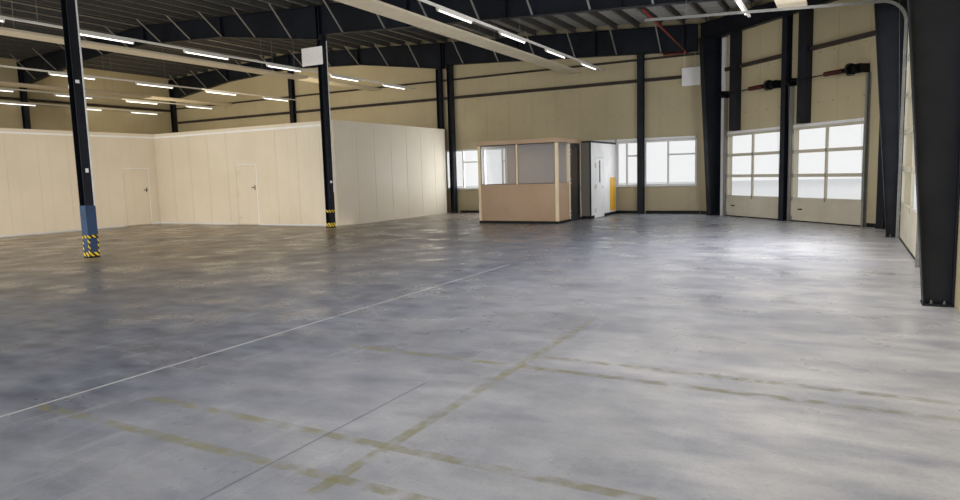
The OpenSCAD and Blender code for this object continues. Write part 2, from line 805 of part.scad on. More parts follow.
// Plate that carries the low end of a shaft, from the wall inwards, with its foot towards the door
module bearing_plate() {
    translate([-plate_t, -shaft_off - 60, -110]) cube([plate_t, shaft_off + 60 - seat, 220]);
    translate([-plate_t, -12 - seat, -110]) cube([90, 12, 220]);
}
module loading_door_tracks() {
    side = seat + 10;
    color("lightgray") for (i = [0 : 1]) at_dock(i) {
        full = dock_w + 2 * leaf_lap;
        translate([-side, leaf_t, 0]) mirror([1, 0, 0]) track(dock_shaft_h - 115);
        translate([full + side, leaf_t, 0]) track(dock_shaft_h - 115);
        translate([0, leaf_t + seat, dock_shaft_h]) {
            translate([-side - 30, -shaft_off, 0]) shaft(full + 2 * side + 60);
            translate([-side, 0, 0]) bearing_plate();
            translate([full + side, 0, 0]) mirror([1, 0, 0]) bearing_plate();
        }
    }
}

// Puts a leaf's own frame behind the gate's opening: x runs from the near jamb to the far one
module at_gate() {
    translate([inner_r - leaf_t - seat, gate_near - leaf_lap, floor_t])
        rotate([0, 0, 90]) mirror([0, 1, 0]) children();
}
gate_rows = leaf_rows(gate_h, gate_low, 740);
module gate_leaf() {
    color("gainsboro") at_gate() section_leaf(gate_w, gate_h, gate_low, gate_rows);
}
module gate_glass() {
    color("lightblue", 0.4) at_gate() section_glass(gate_w, gate_h, gate_low, gate_rows);
}
// The gate's tracks bend over from upright to the roof's slope, under the rafters
bend_r = 500;
rail_w = 60;
rail_t = 30;
rail_rise = 580;
rail_back = 4970;
gate_shaft_up = 730;
// Rods that carry the level tracks from the purlins
rail_rods = [14, 18];
module gate_track() {
    rail_top = gate_h + rail_rise;
    translate([-rail_w, 0, 0]) cube([rail_w, rail_t, rail_top - bend_r]);
    around = bend_r + 5;
    translate([-bend_r, 0, rail_top - bend_r]) {
        rotate([-90, 0, 0]) intersection() {
            rotate_extrude($fn = 120) translate([bend_r - rail_w, 0]) square([rail_w, rail_t]);
            linear_extrude(rail_t)
                polygon([[0, 0], [around, 0], [around, -around], [around * slope, -around]]);
        }
        rotate([0, roof_pitch, 0]) translate([-rail_back, 0, bend_r - rail_w])
            cube([rail_back - seat, rail_t, rail_w]);
    }
    // Brackets that hold the track off the wall
    for (z = [500 : 1000 : gate_h - 300])
        translate([-2, 0, z]) cube([leaf_t + 12 - seat + 2, rail_t, rail_w]);
}
module gate_tracks() {
    x = inner_r - leaf_t - 12;
    low = gate_near - leaf_lap - 10;
    high = gate_far + leaf_lap + 10;
    function rail_z(k) = floor_t + gate_h + rail_rise + slope * (x - bend_r - purlin_x(k)) - 5;
    color("lightgray") {
        for (y = [low - rail_t, high]) {
            translate([x, y, floor_t]) gate_track();
            for (k = rail_rods) translate([purlin_x(k), y + rail_t / 2, rail_z(k)])
                cylinder(r = rod_r, h = steel_z(purlin_x(k)) - slope * rod_r - seat - rail_z(k));
        }
        // Spring shaft over the gate
        translate([inner_r, 0, floor_t + gate_h + gate_shaft_up]) rotate([0, 0, 90]) {
            translate([low - rail_t - 30, shaft_off, 0]) shaft(high - low + 2 * rail_t + 60);
            translate([low - rail_t, 0, 0]) mirror([0, 1, 0]) bearing_plate();
            translate([high + rail_t, 0, 0]) mirror([0, 1, 0]) mirror([1, 0, 0]) bearing_plate();
        }
    }
}

// White enclosure: an L in plan, from the middle column line to the left wall
room_right = line_b;
room_y = row_2 + room_set;
room_left = room_right - room_front;
room_near = row_1 + room_set;
room_top = floor_t + room_h;
// Doorway starts: along the front face from its left end, along the long face from its far end
front_door_at = room_left + 4500;
long_door_at = room_y - 400 - room_door_w;

// A wall of panels along x with a doorway, in three solids that don't touch
module door_wall(length, at, h) {
    part_gap = 1;
    panel_wall(at, room_t, h);
    translate([at + room_door_w, 0, 0]) panel_wall(length - at - room_door_w, room_t, h);
    translate([at + part_gap, 0, room_door_h]) cube([room_door_w - 2 * part_gap, room_t, h - room_door_h]);
}
module enclosure_front_wall() {
    color("whitesmoke") translate([room_left + room_t + seat, room_y, floor_t])
        door_wall(room_front - room_t - 2 * seat, front_door_at - room_left - room_t - seat, room_h);
}
module enclosure_long_wall() {
    length = room_y + room_t - room_near;
    color("whitesmoke") translate([room_left, room_near + length, floor_t]) rotate([0, 0, -90])
        door_wall(length, room_near + length - long_door_at - room_door_w, room_h);
}
module enclosure_end_wall() {
    length = inner_f - wall_gap - col_w - 40 - room_y - room_t;
    color("whitesmoke") translate([room_right, room_y + room_t + seat, floor_t]) rotate([0, 0, 90])
        panel_wall(length, room_t, room_h);
}
module enclosure_near_wall() {
    color("whitesmoke") translate([inner_l + seat, room_near, floor_t])
        panel_wall(room_left - inner_l - 2 * seat, room_t, room_h);
}
module enclosure_ceiling() {
    back = inner_f - wall_gap - col_w - 40;
    left = inner_l + wall_gap + col_d + 30;
    color("whitesmoke") translate([0, 0, room_top + seat]) linear_extrude(room_t) polygon([
        [left, room_near], [room_left + room_t, room_near], [room_left + room_t, room_y],
        [room_right, room_y], [room_right, back], [left, back]
    ]);
}

// A lever handle on each face of a leaf, reaching towards the hinge
module handle_pair(t) {
    for (side = [0, 1]) translate([0, side * t, 0]) mirror([0, 1 - side, 0]) {
        rotate([-90, 0, 0]) cylinder(r = 10, h = 45);
        translate([-10, 25, -10]) cube([130, 20, 20]);
    }
}
// Hinges: heights of their feet on a leaf of height h, pin and knuckle
hinge_l = 100;
pin_r = 6;
function hinge_feet(h) = [220, h / 2, h - 220 - hinge_l];
module knuckle(up, length) {
    translate([0, 0, up]) cylinder(r = pin_off - seat, h = length);
}
// Leaf that hangs on a pin at the origin: x runs to the lock edge, y into the wall
module hinged_leaf(w, h, t, handle_h, inset = 90) {
    translate([door_gap, pin_off, door_gap]) cube([w - 2 * door_gap, t, h - 2 * door_gap]);
    for (z = hinge_feet(h)) difference() {
        union() {
            knuckle(z, hinge_l);
            translate([0, 0, z]) cube([door_gap + 2, 6, hinge_l]);
            translate([door_gap, 0, z]) cube([110, pin_off + 1, hinge_l]);
        }
        translate([0, 0, z - 1]) cylinder(r = pin_r + seat, h = hinge_l + 2);
    }
    translate([w - inset, pin_off, handle_h]) mirror([1, 0, 0]) handle_pair(t);
}
// The wall's half of the same hinges: a pin, an ear at each end and the plate on the wall
ear_l = 30;
module wall_hinges(h) {
    for (z = hinge_feet(h)) translate([0, 0, z]) {
        translate([0, 0, -ear_l - 1]) cylinder(r = pin_r, h = hinge_l + 2 * ear_l + 2);
        for (up = [-ear_l - 1, hinge_l + 1]) {
            knuckle(up, ear_l);
            translate([-60, pin_off - seat - 6, up]) cube([60, 6, ear_l]);
        }
        translate([-110, pin_off - seat - 6, -ear_l - 1]) cube([80, 6, hinge_l + 2 * ear_l + 2]);
    }
}
room_handle = 1350;
// Pins of the enclosure's doors, just proud of the faces that are seen
front_pin = [front_door_at, room_y - pin_off];
long_pin = [room_left + room_t + pin_off, long_door_at];
module enclosure_front_door() {
    color("whitesmoke") translate([front_pin[0], front_pin[1], floor_t])
        hinged_leaf(room_door_w, room_door_h, door_t, room_handle);
}
module enclosure_long_door() {
    color("whitesmoke") translate([long_pin[0], long_pin[1], floor_t]) rotate([0, 0, 90])
        hinged_leaf(room_door_w, room_door_h, door_t, room_handle);
}

// Glazed office: front-left corner and outline
office_x = line_b + 4200;
office_y = row_2 + 2450;
office_z = floor_t;
office_top = 140;
office_door_w = 900;
// Start of the doorway in the right side, from the front
office_door_at = office_l - post_w - office_door_w;
module office_base() {
    color("black") translate([office_x, office_y, office_z]) difference() {
        cube([office_w, office_l, base_h]);
        translate([board_t + 60, board_t + 60, -1])
            cube([office_w - 2 * board_t - 120, office_l - 2 * board_t - 120, base_h + 2]);
        translate([office_w / 2, office_door_at, -1]) cube([office_w, office_door_w, base_h + 2]);
    }
}
module office_post(x, y) {
    translate([x, y, base_h + seat]) cube([post_w, post_w, office_h - base_h - office_top - 2 * seat]);
}
module office_frame() {
    far = office_l - post_w;
    right = office_w - post_w;
    low = office_low;
    color("wheat") translate([office_x, office_y, office_z]) {
        for (x = [0, right]) for (y = [0, far]) office_post(x, y);
        office_post(right, office_door_at - post_w);
        // Mullion of the front and rails on the lower walls
        translate([office_w / 2 - 30, 10, low + seat]) cube([60, 60, office_h - low - office_top - 2 * seat]);
    }
}
module office_boards() {
    low = office_low - base_h - seat;
    color("tan") translate([office_x, office_y, office_z + base_h + seat]) {
        // Front, left and rear lower walls, and the narrow panel beside the doorway
        translate([post_w + seat, 15, 0]) cube([office_w - 2 * post_w - 2 * seat, board_t, low]);
        translate([15, post_w + seat, 0]) cube([board_t, office_l - 2 * post_w - 2 * seat, low]);
        translate([post_w + seat, office_l - board_t - 15, 0])
            cube([office_w - 2 * post_w - 2 * seat, board_t, office_h - base_h - office_top - 3 * seat]);
        translate([office_w - board_t - 15, post_w + seat, 0])
            cube([board_t, office_door_at - 2 * post_w - 2 * seat, low]);
    }
}
module office_glass() {
    low = office_low + seat;
    h = office_h - office_top - low - seat;
    color("lightblue", 0.4) translate([office_x, office_y, office_z + low]) {
        translate([post_w + seat, 25, 0]) cube([office_w / 2 - 30 - post_w - 2 * seat, 12, h]);
        translate([office_w / 2 + 30 + seat, 25, 0]) cube([office_w / 2 - 30 - post_w - 2 * seat, 12, h]);
        translate([25, post_w + seat, 0]) cube([12, office_l - 2 * post_w - 2 * seat, h]);
        translate([office_w - 37, post_w + seat, 0]) cube([12, office_door_at - 2 * post_w - 2 * seat, h]);
    }
}
module office_roof() {
    color("tan") translate([office_x - 20, office_y - 20, office_z + office_h - office_top])
        cube([office_w + 40, office_l + 40, office_top]);
}
office_pin = [office_x + office_w + pin_off, office_y + office_door_at];
door_stile = 110;
office_leaf_h = office_h - office_top - seat;
module at_office_door() {
    translate([office_pin[0], office_pin[1], office_z]) rotate([0, 0, 90]) children();
}
// The hole for the pane in the office's door, grown by out
module office_door_hole(out, y, t) {
    translate([door_stile - out, y, 180 - out])
        cube([office_door_w - 2 * door_stile + 2 * out, t, office_leaf_h - 180 - door_stile + 2 * out]);
}
module office_door() {
    color("dimgray") at_office_door() difference() {
        hinged_leaf(office_door_w, office_leaf_h, door_t, 1050, door_stile / 2);
        office_door_hole(0, pin_off - 1, door_t + 2);
    }
}
module office_door_glass() {
    color("lightblue", 0.4) at_office_door() office_door_hole(-seat, pin_off + 15, door_t - 30);
}

// Store cabin between the office and the far wall
cabin_x = office_x + 800;
cabin_y = office_y + office_l + 60;
cabin_l = inner_f - wall_gap - cabin_y - 200;
cabin_door_w = 900;
cabin_door_h = 2050;
cabin_door_at = 500;
module store_walls() {
    h = cabin_h - 60;
    color("whitesmoke") translate([cabin_x, cabin_y, floor_t]) {
        cube([cabin_w, cabin_t, h]);
        translate([0, cabin_l - cabin_t, 0]) cube([cabin_w, cabin_t, h]);
        translate([0, cabin_t + seat, 0]) cube([cabin_t, cabin_l - 2 * cabin_t - 2 * seat, h]);
        // Side with the doorway, in three solids
        translate([cabin_w - cabin_t, cabin_t + seat, 0]) cube([cabin_t, cabin_door_at - cabin_t - seat, h]);
        translate([cabin_w - cabin_t, cabin_door_at + cabin_door_w, 0])
            cube([cabin_t, cabin_l - cabin_t - seat - cabin_door_at - cabin_door_w, h]);
        translate([cabin_w - cabin_t, cabin_door_at + 1, cabin_door_h])
            cube([cabin_t, cabin_door_w - 2, h - cabin_door_h]);
    }
}
module store_roof() {
    color("gray") translate([cabin_x - 10, cabin_y - 10, floor_t + cabin_h - 60 + seat])
        cube([cabin_w + 20, cabin_l + 20, 60]);
}
store_pin = [cabin_x + cabin_w + pin_off, cabin_y + cabin_door_at];
module store_door() {
    color("whitesmoke") translate([store_pin[0], store_pin[1], floor_t]) rotate([0, 0, 90])
        hinged_leaf(cabin_door_w, cabin_door_h, door_t, 1050);
}
module door_hinges() {
    color("silver") {
        translate([front_pin[0], front_pin[1], floor_t]) wall_hinges(room_door_h);
        translate([long_pin[0], long_pin[1], floor_t]) rotate([0, 0, 90]) wall_hinges(room_door_h);
        at_office_door() wall_hinges(office_leaf_h);
        translate([store_pin[0], store_pin[1], floor_t]) rotate([0, 0, 90]) wall_hinges(cabin_door_h);
    }
}

// Rods from a tray up to the rafters that it passes
module hangers(x, y1, y2, top) {
    for (y = rows) if (y > y1 && y < y2)
        translate([x, y, top + seat])
            cylinder(r = rod_r, h = under_z(x) - grade(x) * rod_r - top - 2 * seat);
}
// Radiant panels: middle from the middle column line, first and last y
heaters = [
    [5930, row_0 - 300, row_3 - 700],
    [13600, row_0 - 300, row_2 + 300],
    [-2400, row_0 - 300, row_3 - 1500],
    [-11000, row_0 - 300, row_3 - 1500]
];
flutes = 8;
flute_w = 18;
flute_d = 6;
module ceiling_heaters() {
    color("wheat") for (h = heaters) {
        length = h[2] - h[1];
        translate([line_b + h[0] - heater_w / 2, h[1], floor_t + services_h]) difference() {
            cube([heater_w, length, heater_t]);
            // Flutes along the underside
            for (i = [1 : flutes - 1]) translate([(i * heater_w - flute_w * flutes / 2) / flutes, -1, -1])
                cube([flute_w, length + 2, flute_d + 1]);
        }
    }
}

// Light lines: distance from the middle column line, and where they end
lights = [[6930, 250], [12600, 6500], [-1200, 500], [-7600, 700], [-12600, 900], [-16700, 900]];
trunk_t = 45;
lamp_t = 55;
lights_y = row_0 - 300;
module light_lines() {
    z = floor_t + services_h;
    color("white") for (l = lights) {
        x = line_b + l[0];
        last = row_3 - l[1];
        translate([x - light_w / 2, lights_y, z + lamp_t - 1]) cube([light_w, last - lights_y, trunk_t + 1]);
        for (y = [lights_y + 100 : lamp_pitch : last - lamp_l])
            translate([x - light_w * 0.6, y, z]) cube([light_w * 1.2, lamp_l, lamp_t]);
    }
}
module hanger_rods() {
    z = floor_t + services_h;
    color("silver") {
        for (h = heaters) for (side = [-1, 1])
            hangers(line_b + h[0] + side * (heater_w / 2 - 60), h[1], h[2], z + heater_t);
        for (l = lights) hangers(line_b + l[0], lights_y, row_3 - l[1], z + lamp_t + trunk_t);
    }
}

conduit_r = 18;
// Duct on the wall beside the first loading door
duct_at = dock_first - 300;
duct_w = 160;
duct_d = 100;
module conduits() {
    color("lightgray") {
        for (y = [row_1, row_2]) translate([
            line_b + col_d / 2 + conduit_r + seat, y + col_w / 2 - conduit_r, floor_t + 1150
        ]) cylinder(r = conduit_r, h = valley_h - haunch_d - 1150 - 30);
        on_cut() translate([duct_at, -duct_d - seat, floor_t]) cube([duct_w, duct_d, beam_under - 60]);
    }
}

module sign_boards() {
    t = 12;
    side = 620;
    left = line_b + 9655;
    hang_y = row_3 - 60;
    hang_top = floor_t + 5060;
    color("white") {
        translate([line_b - 740, row_2 - col_w / 2 - t - seat, floor_t + 5200]) cube([860, t, 560]);
        translate([left, hang_y, hang_top - side]) cube([side, t, side]);
        // Rods up to the far rafter
        for (x = [left + 80, left + 440])
            translate([x, hang_y + t / 2, hang_top - 10])
                cylinder(r = 3, h = steel_z(x) - girder_d - hang_top + 10 - seat - 0.2);
    }
}

floor_slab();
columns_left();
columns_middle();
columns_right();
gable_posts();
corner_columns();
rafters_left();
rafters_right();
corner_beam();
purlins_left();
purlins_right();
fly_braces();
roof_deck();
roof_insulation();
roof_trim();
party_wall();
far_wall();
corner_wall();
right_wall();
wall_girts();
window_frames();
window_glass();
loading_doors();
loading_door_glass();
loading_door_tracks();
gate_leaf();
gate_glass();
gate_tracks();
enclosure_long_wall();
enclosure_front_wall();
enclosure_end_wall();
enclosure_near_wall();
enclosure_ceiling();
enclosure_long_door();
enclosure_front_door();
office_base();
office_frame();
office_boards();
office_glass();
office_roof();
office_door();
office_door_glass();
store_walls();
store_roof();
store_door();
door_hinges();
ceiling_heaters();
light_lines();
hanger_rods();
conduits();
sign_boards();
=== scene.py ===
import bpy, bmesh, math
from mathutils import Matrix, Vector


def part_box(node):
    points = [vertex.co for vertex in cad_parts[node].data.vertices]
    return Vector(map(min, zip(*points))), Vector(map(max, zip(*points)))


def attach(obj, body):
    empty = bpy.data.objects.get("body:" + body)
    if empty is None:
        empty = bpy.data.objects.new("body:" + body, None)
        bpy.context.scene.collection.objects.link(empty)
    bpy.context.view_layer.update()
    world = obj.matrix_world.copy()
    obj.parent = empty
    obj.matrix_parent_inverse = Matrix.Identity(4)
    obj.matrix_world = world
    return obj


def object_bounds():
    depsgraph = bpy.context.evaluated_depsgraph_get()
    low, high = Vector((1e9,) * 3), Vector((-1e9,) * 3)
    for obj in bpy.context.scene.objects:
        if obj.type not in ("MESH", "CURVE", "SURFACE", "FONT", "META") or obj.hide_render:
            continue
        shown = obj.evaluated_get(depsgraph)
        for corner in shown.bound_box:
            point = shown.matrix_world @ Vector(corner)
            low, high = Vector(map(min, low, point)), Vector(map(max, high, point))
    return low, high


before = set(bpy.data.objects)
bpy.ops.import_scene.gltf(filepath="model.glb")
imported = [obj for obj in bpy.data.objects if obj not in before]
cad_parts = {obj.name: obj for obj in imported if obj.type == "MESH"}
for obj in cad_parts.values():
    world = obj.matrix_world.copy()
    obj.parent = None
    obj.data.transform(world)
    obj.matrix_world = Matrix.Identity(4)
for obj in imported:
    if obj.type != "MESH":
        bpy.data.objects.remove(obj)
cadLow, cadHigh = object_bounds()
print("frame loaded:", len(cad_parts), "nodes")

# The hall's own grid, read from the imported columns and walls
columnLow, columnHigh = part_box("columns_middle")
leftLow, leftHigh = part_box("columns_left")
footEdge = 0.008  # how far a foot plate stands out
seatGap = 0.0003  # what the model leaves between two pieces
columnDepth = leftHigh.x - leftLow.x - 2 * footEdge
columnWidth = 0.22
bay, endBay = 8.0, 7.5
lineA = (leftLow.x + leftHigh.x) / 2
lineB = (columnLow.x + columnHigh.x) / 2
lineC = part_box("columns_right")[1].x - footEdge - columnDepth / 2
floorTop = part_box("floor_slab")[1].z + seatGap
row0 = columnLow.y + columnWidth / 2 + footEdge
rows = (row0, row0 + bay, row0 + 2 * bay, row0 + 2 * bay + endBay)
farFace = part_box("far_wall")[0].y  # inner face of the far wall
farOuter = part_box("far_wall")[1].y
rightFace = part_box("right_wall")[0].x  # inner face of the right wall
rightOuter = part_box("right_wall")[1].x
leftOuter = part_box("party_wall")[0].x
wallThick = farOuter - farFace


def linearOf(hexValue):
    # sRGB hex to linear
    parts = [int(hexValue[i:i + 2], 16) / 255 for i in (1, 3, 5)]
    return [p / 12.92 if p <= 0.04045 else ((p + 0.055) / 1.055) ** 2.4 for p in parts] + [1.0]


def addNode(tree, kind, inputs=None, **settings):
    # one node with its settings, input values and links
    made = tree.nodes.new("ShaderNode" + kind)
    for key, value in settings.items():
        setattr(made, key, value)
    for key, value in (inputs or {}).items():
        if isinstance(value, bpy.types.NodeSocket):
            tree.links.new(value, made.inputs[key])
        else:
            made.inputs[key].default_value = value
    return made


def newFinish(name, colour, roughness, metallic=0.0, **more):
    # a material whose shader has its constant values set on its own sockets
    finish = bpy.data.materials.new(name)
    finish.use_nodes = True
    tree = finish.node_tree
    shader = tree.nodes["Principled BSDF"]
    shader.inputs["Base Color"].default_value = linearOf(colour)
    shader.inputs["Roughness"].default_value = roughness
    shader.inputs["Metallic"].default_value = metallic
    for key, value in more.items():
        shader.inputs[key.replace("_", " ")].default_value = value
    place = addNode(tree, "TexCoord").outputs["Object"]
    return finish, tree, shader, place


def mottled(tree, place, colours, patchMm, detail=6, contrast=(0.35, 0.65), stretch=(1, 1, 1)):
    # slow change between two colours over patches of that size
    sized = addNode(tree, "Mapping", {"Vector": place, "Scale": stretch}).outputs[0]
    noise = addNode(tree, "TexNoise", {"Vector": sized, "Scale": 1000 / patchMm,
                                       "Detail": detail, "Roughness": 0.6})
    ramp = addNode(tree, "ValToRGB", {"Fac": noise.outputs["Fac"]})
    for stop, position, colour in zip(ramp.color_ramp.elements, contrast, colours):
        stop.position = position
        stop.color = linearOf(colour)
    return ramp.outputs["Color"]


def patches(tree, place, patchMm, detail=2.0, cut=(0.0, 1.0), to=(0.0, 1.0), grain=0.5):
    # noise in patches of that size; what lies between the two cuts is spread over a range
    noise = addNode(tree, "TexNoise", {"Vector": place, "Scale": 1000 / patchMm,
                                       "Detail": detail, "Roughness": grain})
    spread = addNode(tree, "MapRange", {"Value": noise.outputs["Fac"], "From Min": cut[0],
                                        "From Max": cut[1], "To Min": to[0], "To Max": to[1]})
    return spread.outputs["Result"]


def bumped(tree, shader, height, depthMm, strength=1.0):
    # surface relief of that depth in millimetres
    bump = addNode(tree, "Bump", {"Height": height, "Distance": depthMm / 1000, "Strength": strength})
    tree.links.new(bump.outputs["Normal"], shader.inputs["Normal"])


def varyRoughness(tree, shader, place, low, high, patchMm):
    spread = patches(tree, place, patchMm, detail=4.0, cut=(0.3, 0.7), to=(low, high))
    tree.links.new(spread, shader.inputs["Roughness"])


def bandMask(tree, place, axis, middle, width, soft=0.004):
    # 1 within half the width of a line across one axis, 0 outside, with soft edges
    split = addNode(tree, "SeparateXYZ", {"Vector": place})
    away = addNode(tree, "Math", {0: split.outputs["XYZ".index(axis)], 1: middle}, operation="SUBTRACT")
    away = addNode(tree, "Math", {0: away.outputs[0]}, operation="ABSOLUTE")
    mask = addNode(tree, "MapRange", {"Value": away.outputs[0], "From Min": width / 2 - soft,
                                      "From Max": width / 2 + soft, "To Min": 1.0, "To Max": 0.0})
    return mask.outputs["Result"]


def beyondMask(tree, place, axis, limit, above=True, soft=0.02):
    # 1 on one side of a limit along an axis
    split = addNode(tree, "SeparateXYZ", {"Vector": place})
    ends = (0.0, 1.0) if above else (1.0, 0.0)
    mask = addNode(tree, "MapRange", {"Value": split.outputs["XYZ".index(axis)],
                                      "From Min": limit - soft, "From Max": limit + soft,
                                      "To Min": ends[0], "To Max": ends[1]})
    return mask.outputs["Result"]


def covered(tree, base, colour, *masks):
    # one colour over another, as strongly as all the masks together let through
    cover = masks[0]
    for mask in masks[1:]:
        cover = addNode(tree, "Math", {0: cover, 1: mask}, operation="MULTIPLY").outputs[0]
    below, above = [linearOf(tone) if isinstance(tone, str) else tone for tone in (base, colour)]
    mix = addNode(tree, "Mix", {"Factor": cover, "A": below, "B": above}, data_type="RGBA")
    return mix.outputs["Result"]


slab = {
    "tone": "#7F868F", "clouds": ("#474D59", "#696F79"), "cloudMm": 1900,
    "fine": ("#3A404B", "#84888F"), "fineMm": 240, "fineShare": 0.62,
    # tan dust towards the enclosure, from lineB and before row 1, each with the width of its soft edge
    "dust": ("#6C604F", "#A0907A"), "dustMm": 700, "dustUpTo": (5.5, 4), "dustFrom": (3.2, 2.8),
    # painted daylight: a lighter lane where light from the gate falls, from lineB
    "gateLightPaint": ("#94969A", "#CCCAC4"), "gateLightPaintMm": 380, "gateLightPaintFrom": (12, 2.5),
    "driftMm": 1000 / 0.35, "gritMm": 25, "gritDepthMm": 1.2,
    "scuff": "#B0B1B0", "scuffMm": 1000 / 7, "scuffTurn": 0.5, "scuffStretch": 0.16,
    "speck": "#484C53", "speckMm": 25, "share": 0.5, "roughness": (0.2, 0.5), "roughMm": 700,
}
# Painted lines of old storage bays across and along the hall, a joint and a crack.
# What is measured across the hall counts from lineB, what is measured along it from the origin.
floorMarks = {
    "paint": "#747048", "width": 0.085, "strength": 0.62, "fade": 0.6, "wornMm": 1000 / 9,
    "across": [(-9.54, 10.2, 14.9), (-10.01, 9.6, 14.9), (-7.70, 10.6, 15.4), (-7.36, 12.4, 15.4)],
    "along": [(12.4, -10.2, -5.9)],
    "joint": {"at": 9.565, "upTo": -2.0, "width": 0.022, "share": 0.7, "colour": "#C4C2B8"},
    "crack": {"at": 11.93, "upTo": -8.4, "width": 0.015, "share": 0.6, "colour": "#3E444A"},
}


def sealedConcrete():
    # power-trowelled slab under a worn sealer: blue-grey, cloudy, satin, with scuffs, dusty zones and a
    # painted pool of daylight in the lane to the gate
    finish, tree, shader, place = newFinish("sealedConcrete", slab["tone"], 0.42)
    clouds = mottled(tree, place, slab["clouds"], slab["cloudMm"], detail=10, contrast=(0.3, 0.7),
                     stretch=(0.7, 1, 1))
    fine = mottled(tree, place, slab["fine"], slab["fineMm"], detail=12, contrast=(0.3, 0.75),
                   stretch=(0.5, 1, 1))
    base = covered(tree, clouds, fine, slab["fineShare"])
    drift = patches(tree, place, slab["driftMm"], detail=5.0, cut=(0.35, 0.6), to=(0.6, 0.95))
    (across, acrossSoft), (along, alongSoft) = slab["dustUpTo"], slab["dustFrom"]
    dust = mottled(tree, place, slab["dust"], slab["dustMm"], detail=12, contrast=(0.3, 0.7),
                   stretch=(0.6, 1, 1))
    base = covered(tree, base, dust, beyondMask(tree, place, "X", lineB + across, False, acrossSoft),
                   beyondMask(tree, place, "Y", rows[1] - along, True, alongSoft), drift)
    # painted light: the floor towards the gate is lighter, for the daylight that falls in there
    litLane, litLaneSoft = slab["gateLightPaintFrom"]
    gateLightPaint = mottled(tree, place, slab["gateLightPaint"], slab["gateLightPaintMm"], detail=12, contrast=(0.3, 0.7),
                   stretch=(0.5, 1, 1))
    base = covered(tree, base, gateLightPaint, beyondMask(tree, place, "X", lineB + litLane, True, litLaneSoft), drift)
    dragged = addNode(tree, "Mapping", {"Vector": place, "Rotation": (0, 0, slab["scuffTurn"]),
                                        "Scale": (1, slab["scuffStretch"], 1)}).outputs[0]
    scuffs = patches(tree, dragged, slab["scuffMm"], detail=12.0, cut=(0.55, 0.8), grain=0.75)
    base = covered(tree, base, slab["scuff"], scuffs, slab["share"])
    specks = patches(tree, place, slab["speckMm"], detail=10.0, cut=(0.5, 0.75), grain=0.85)
    base = covered(tree, base, slab["speck"], specks, slab["share"])
    worn = patches(tree, place, floorMarks["wornMm"], detail=8.0, cut=(0.36, 0.6))
    for axis, other, lines in (("Y", "X", floorMarks["across"]), ("X", "Y", floorMarks["along"])):
        for middle, start, stop in lines:
            if axis == "X":
                middle += lineB
            else:
                start, stop = start + lineB, stop + lineB
            base = covered(tree, base, floorMarks["paint"],
                           bandMask(tree, place, axis, middle, floorMarks["width"]),
                           beyondMask(tree, place, other, start),
                           beyondMask(tree, place, other, stop, False, floorMarks["fade"]),
                           worn, floorMarks["strength"])
    for mark in (floorMarks["joint"], floorMarks["crack"]):
        base = covered(tree, base, mark["colour"],
                       bandMask(tree, place, "X", lineB + mark["at"], mark["width"]),
                       beyondMask(tree, place, "Y", mark["upTo"], False), mark["share"])
    tree.links.new(base, shader.inputs["Base Color"])
    varyRoughness(tree, shader, place, *slab["roughness"], slab["roughMm"])
    grit = patches(tree, place, slab["gritMm"], detail=6.0)
    bumped(tree, shader, grit, slab["gritDepthMm"], strength=0.25)
    return finish


navy = {"tone": "#10141C", "tones": ("#0B0E14", "#161C27"), "patchMm": 900, "upright": 0.5,
        "roughness": (0.42, 0.62), "roughMm": 300, "peelMm": 6.25, "peelDepthMm": 0.3}


def navyPaint():
    # two-pack paint sprayed on rolled steel: almost black, satin, with a faint orange peel
    finish, tree, shader, place = newFinish("navyPaintedSteel", navy["tone"], 0.5)
    colour = mottled(tree, place, navy["tones"], navy["patchMm"], contrast=(0.3, 0.75),
                     stretch=(1, 1, navy["upright"]))
    tree.links.new(colour, shader.inputs["Base Color"])
    varyRoughness(tree, shader, place, *navy["roughness"], navy["roughMm"])
    bumped(tree, shader, patches(tree, place, navy["peelMm"]), navy["peelDepthMm"], strength=0.3)
    return finish


panel = {"patchMm": 2400, "fluteShadeAndJointShare": 0.25, "fluteShadeAndJointEdge": 0.93, "grime": "#6E6A5E", "grimeTop": 0.9,
         "grimeMm": 200, "roughness": (0.38, 0.55), "roughMm": 700}


def sandwichPanel(name, light, dark, fluteMm, grimy):
    # coil-coated steel skin, even and satin; the upright flutes are too fine to show at their real pitch,
    # so some of them are drawn as darker lines, painted shade in the grooves; at a 1000 mm pitch the lines
    # mark panel joints
    finish, tree, shader, place = newFinish(name, light, 0.45)
    colour = mottled(tree, place, (dark, light), panel["patchMm"], detail=4, contrast=(0.2, 0.85))
    split = addNode(tree, "SeparateXYZ", {"Vector": place})
    # both wall directions in one, so that one material serves them; across them, on the cut wall, it is plain
    across = addNode(tree, "Math", {0: split.outputs["X"], 1: split.outputs["Y"]}, operation="ADD")
    turn = addNode(tree, "Math", {0: across.outputs[0], 1: 2 * math.pi / (fluteMm / 1000)},
                   operation="MULTIPLY")
    wave = addNode(tree, "Math", {0: turn.outputs[0]}, operation="SINE")
    # darker lines: painted shade in the flutes, and the panel joints at a 1000 mm pitch
    fluteShadeAndJoints = addNode(tree, "MapRange", {"Value": wave.outputs[0], "From Min": panel["fluteShadeAndJointEdge"]})
    colour = covered(tree, colour, dark, fluteShadeAndJoints.outputs["Result"], panel["fluteShadeAndJointShare"])
    low = addNode(tree, "MapRange", {"Value": split.outputs["Z"], "From Min": floorTop,
                                     "From Max": floorTop + panel["grimeTop"],
                                     "To Min": grimy, "To Max": 0.0})
    dirt = patches(tree, place, panel["grimeMm"], detail=8.0)
    colour = covered(tree, colour, panel["grime"], low.outputs["Result"], dirt)
    tree.links.new(colour, shader.inputs["Base Color"])
    varyRoughness(tree, shader, place, *panel["roughness"], panel["roughMm"])
    return finish


zinc = {"spangleMm": 40, "share": 0.5, "smoother": 0.08, "rougher": 0.1, "roughMm": 200}


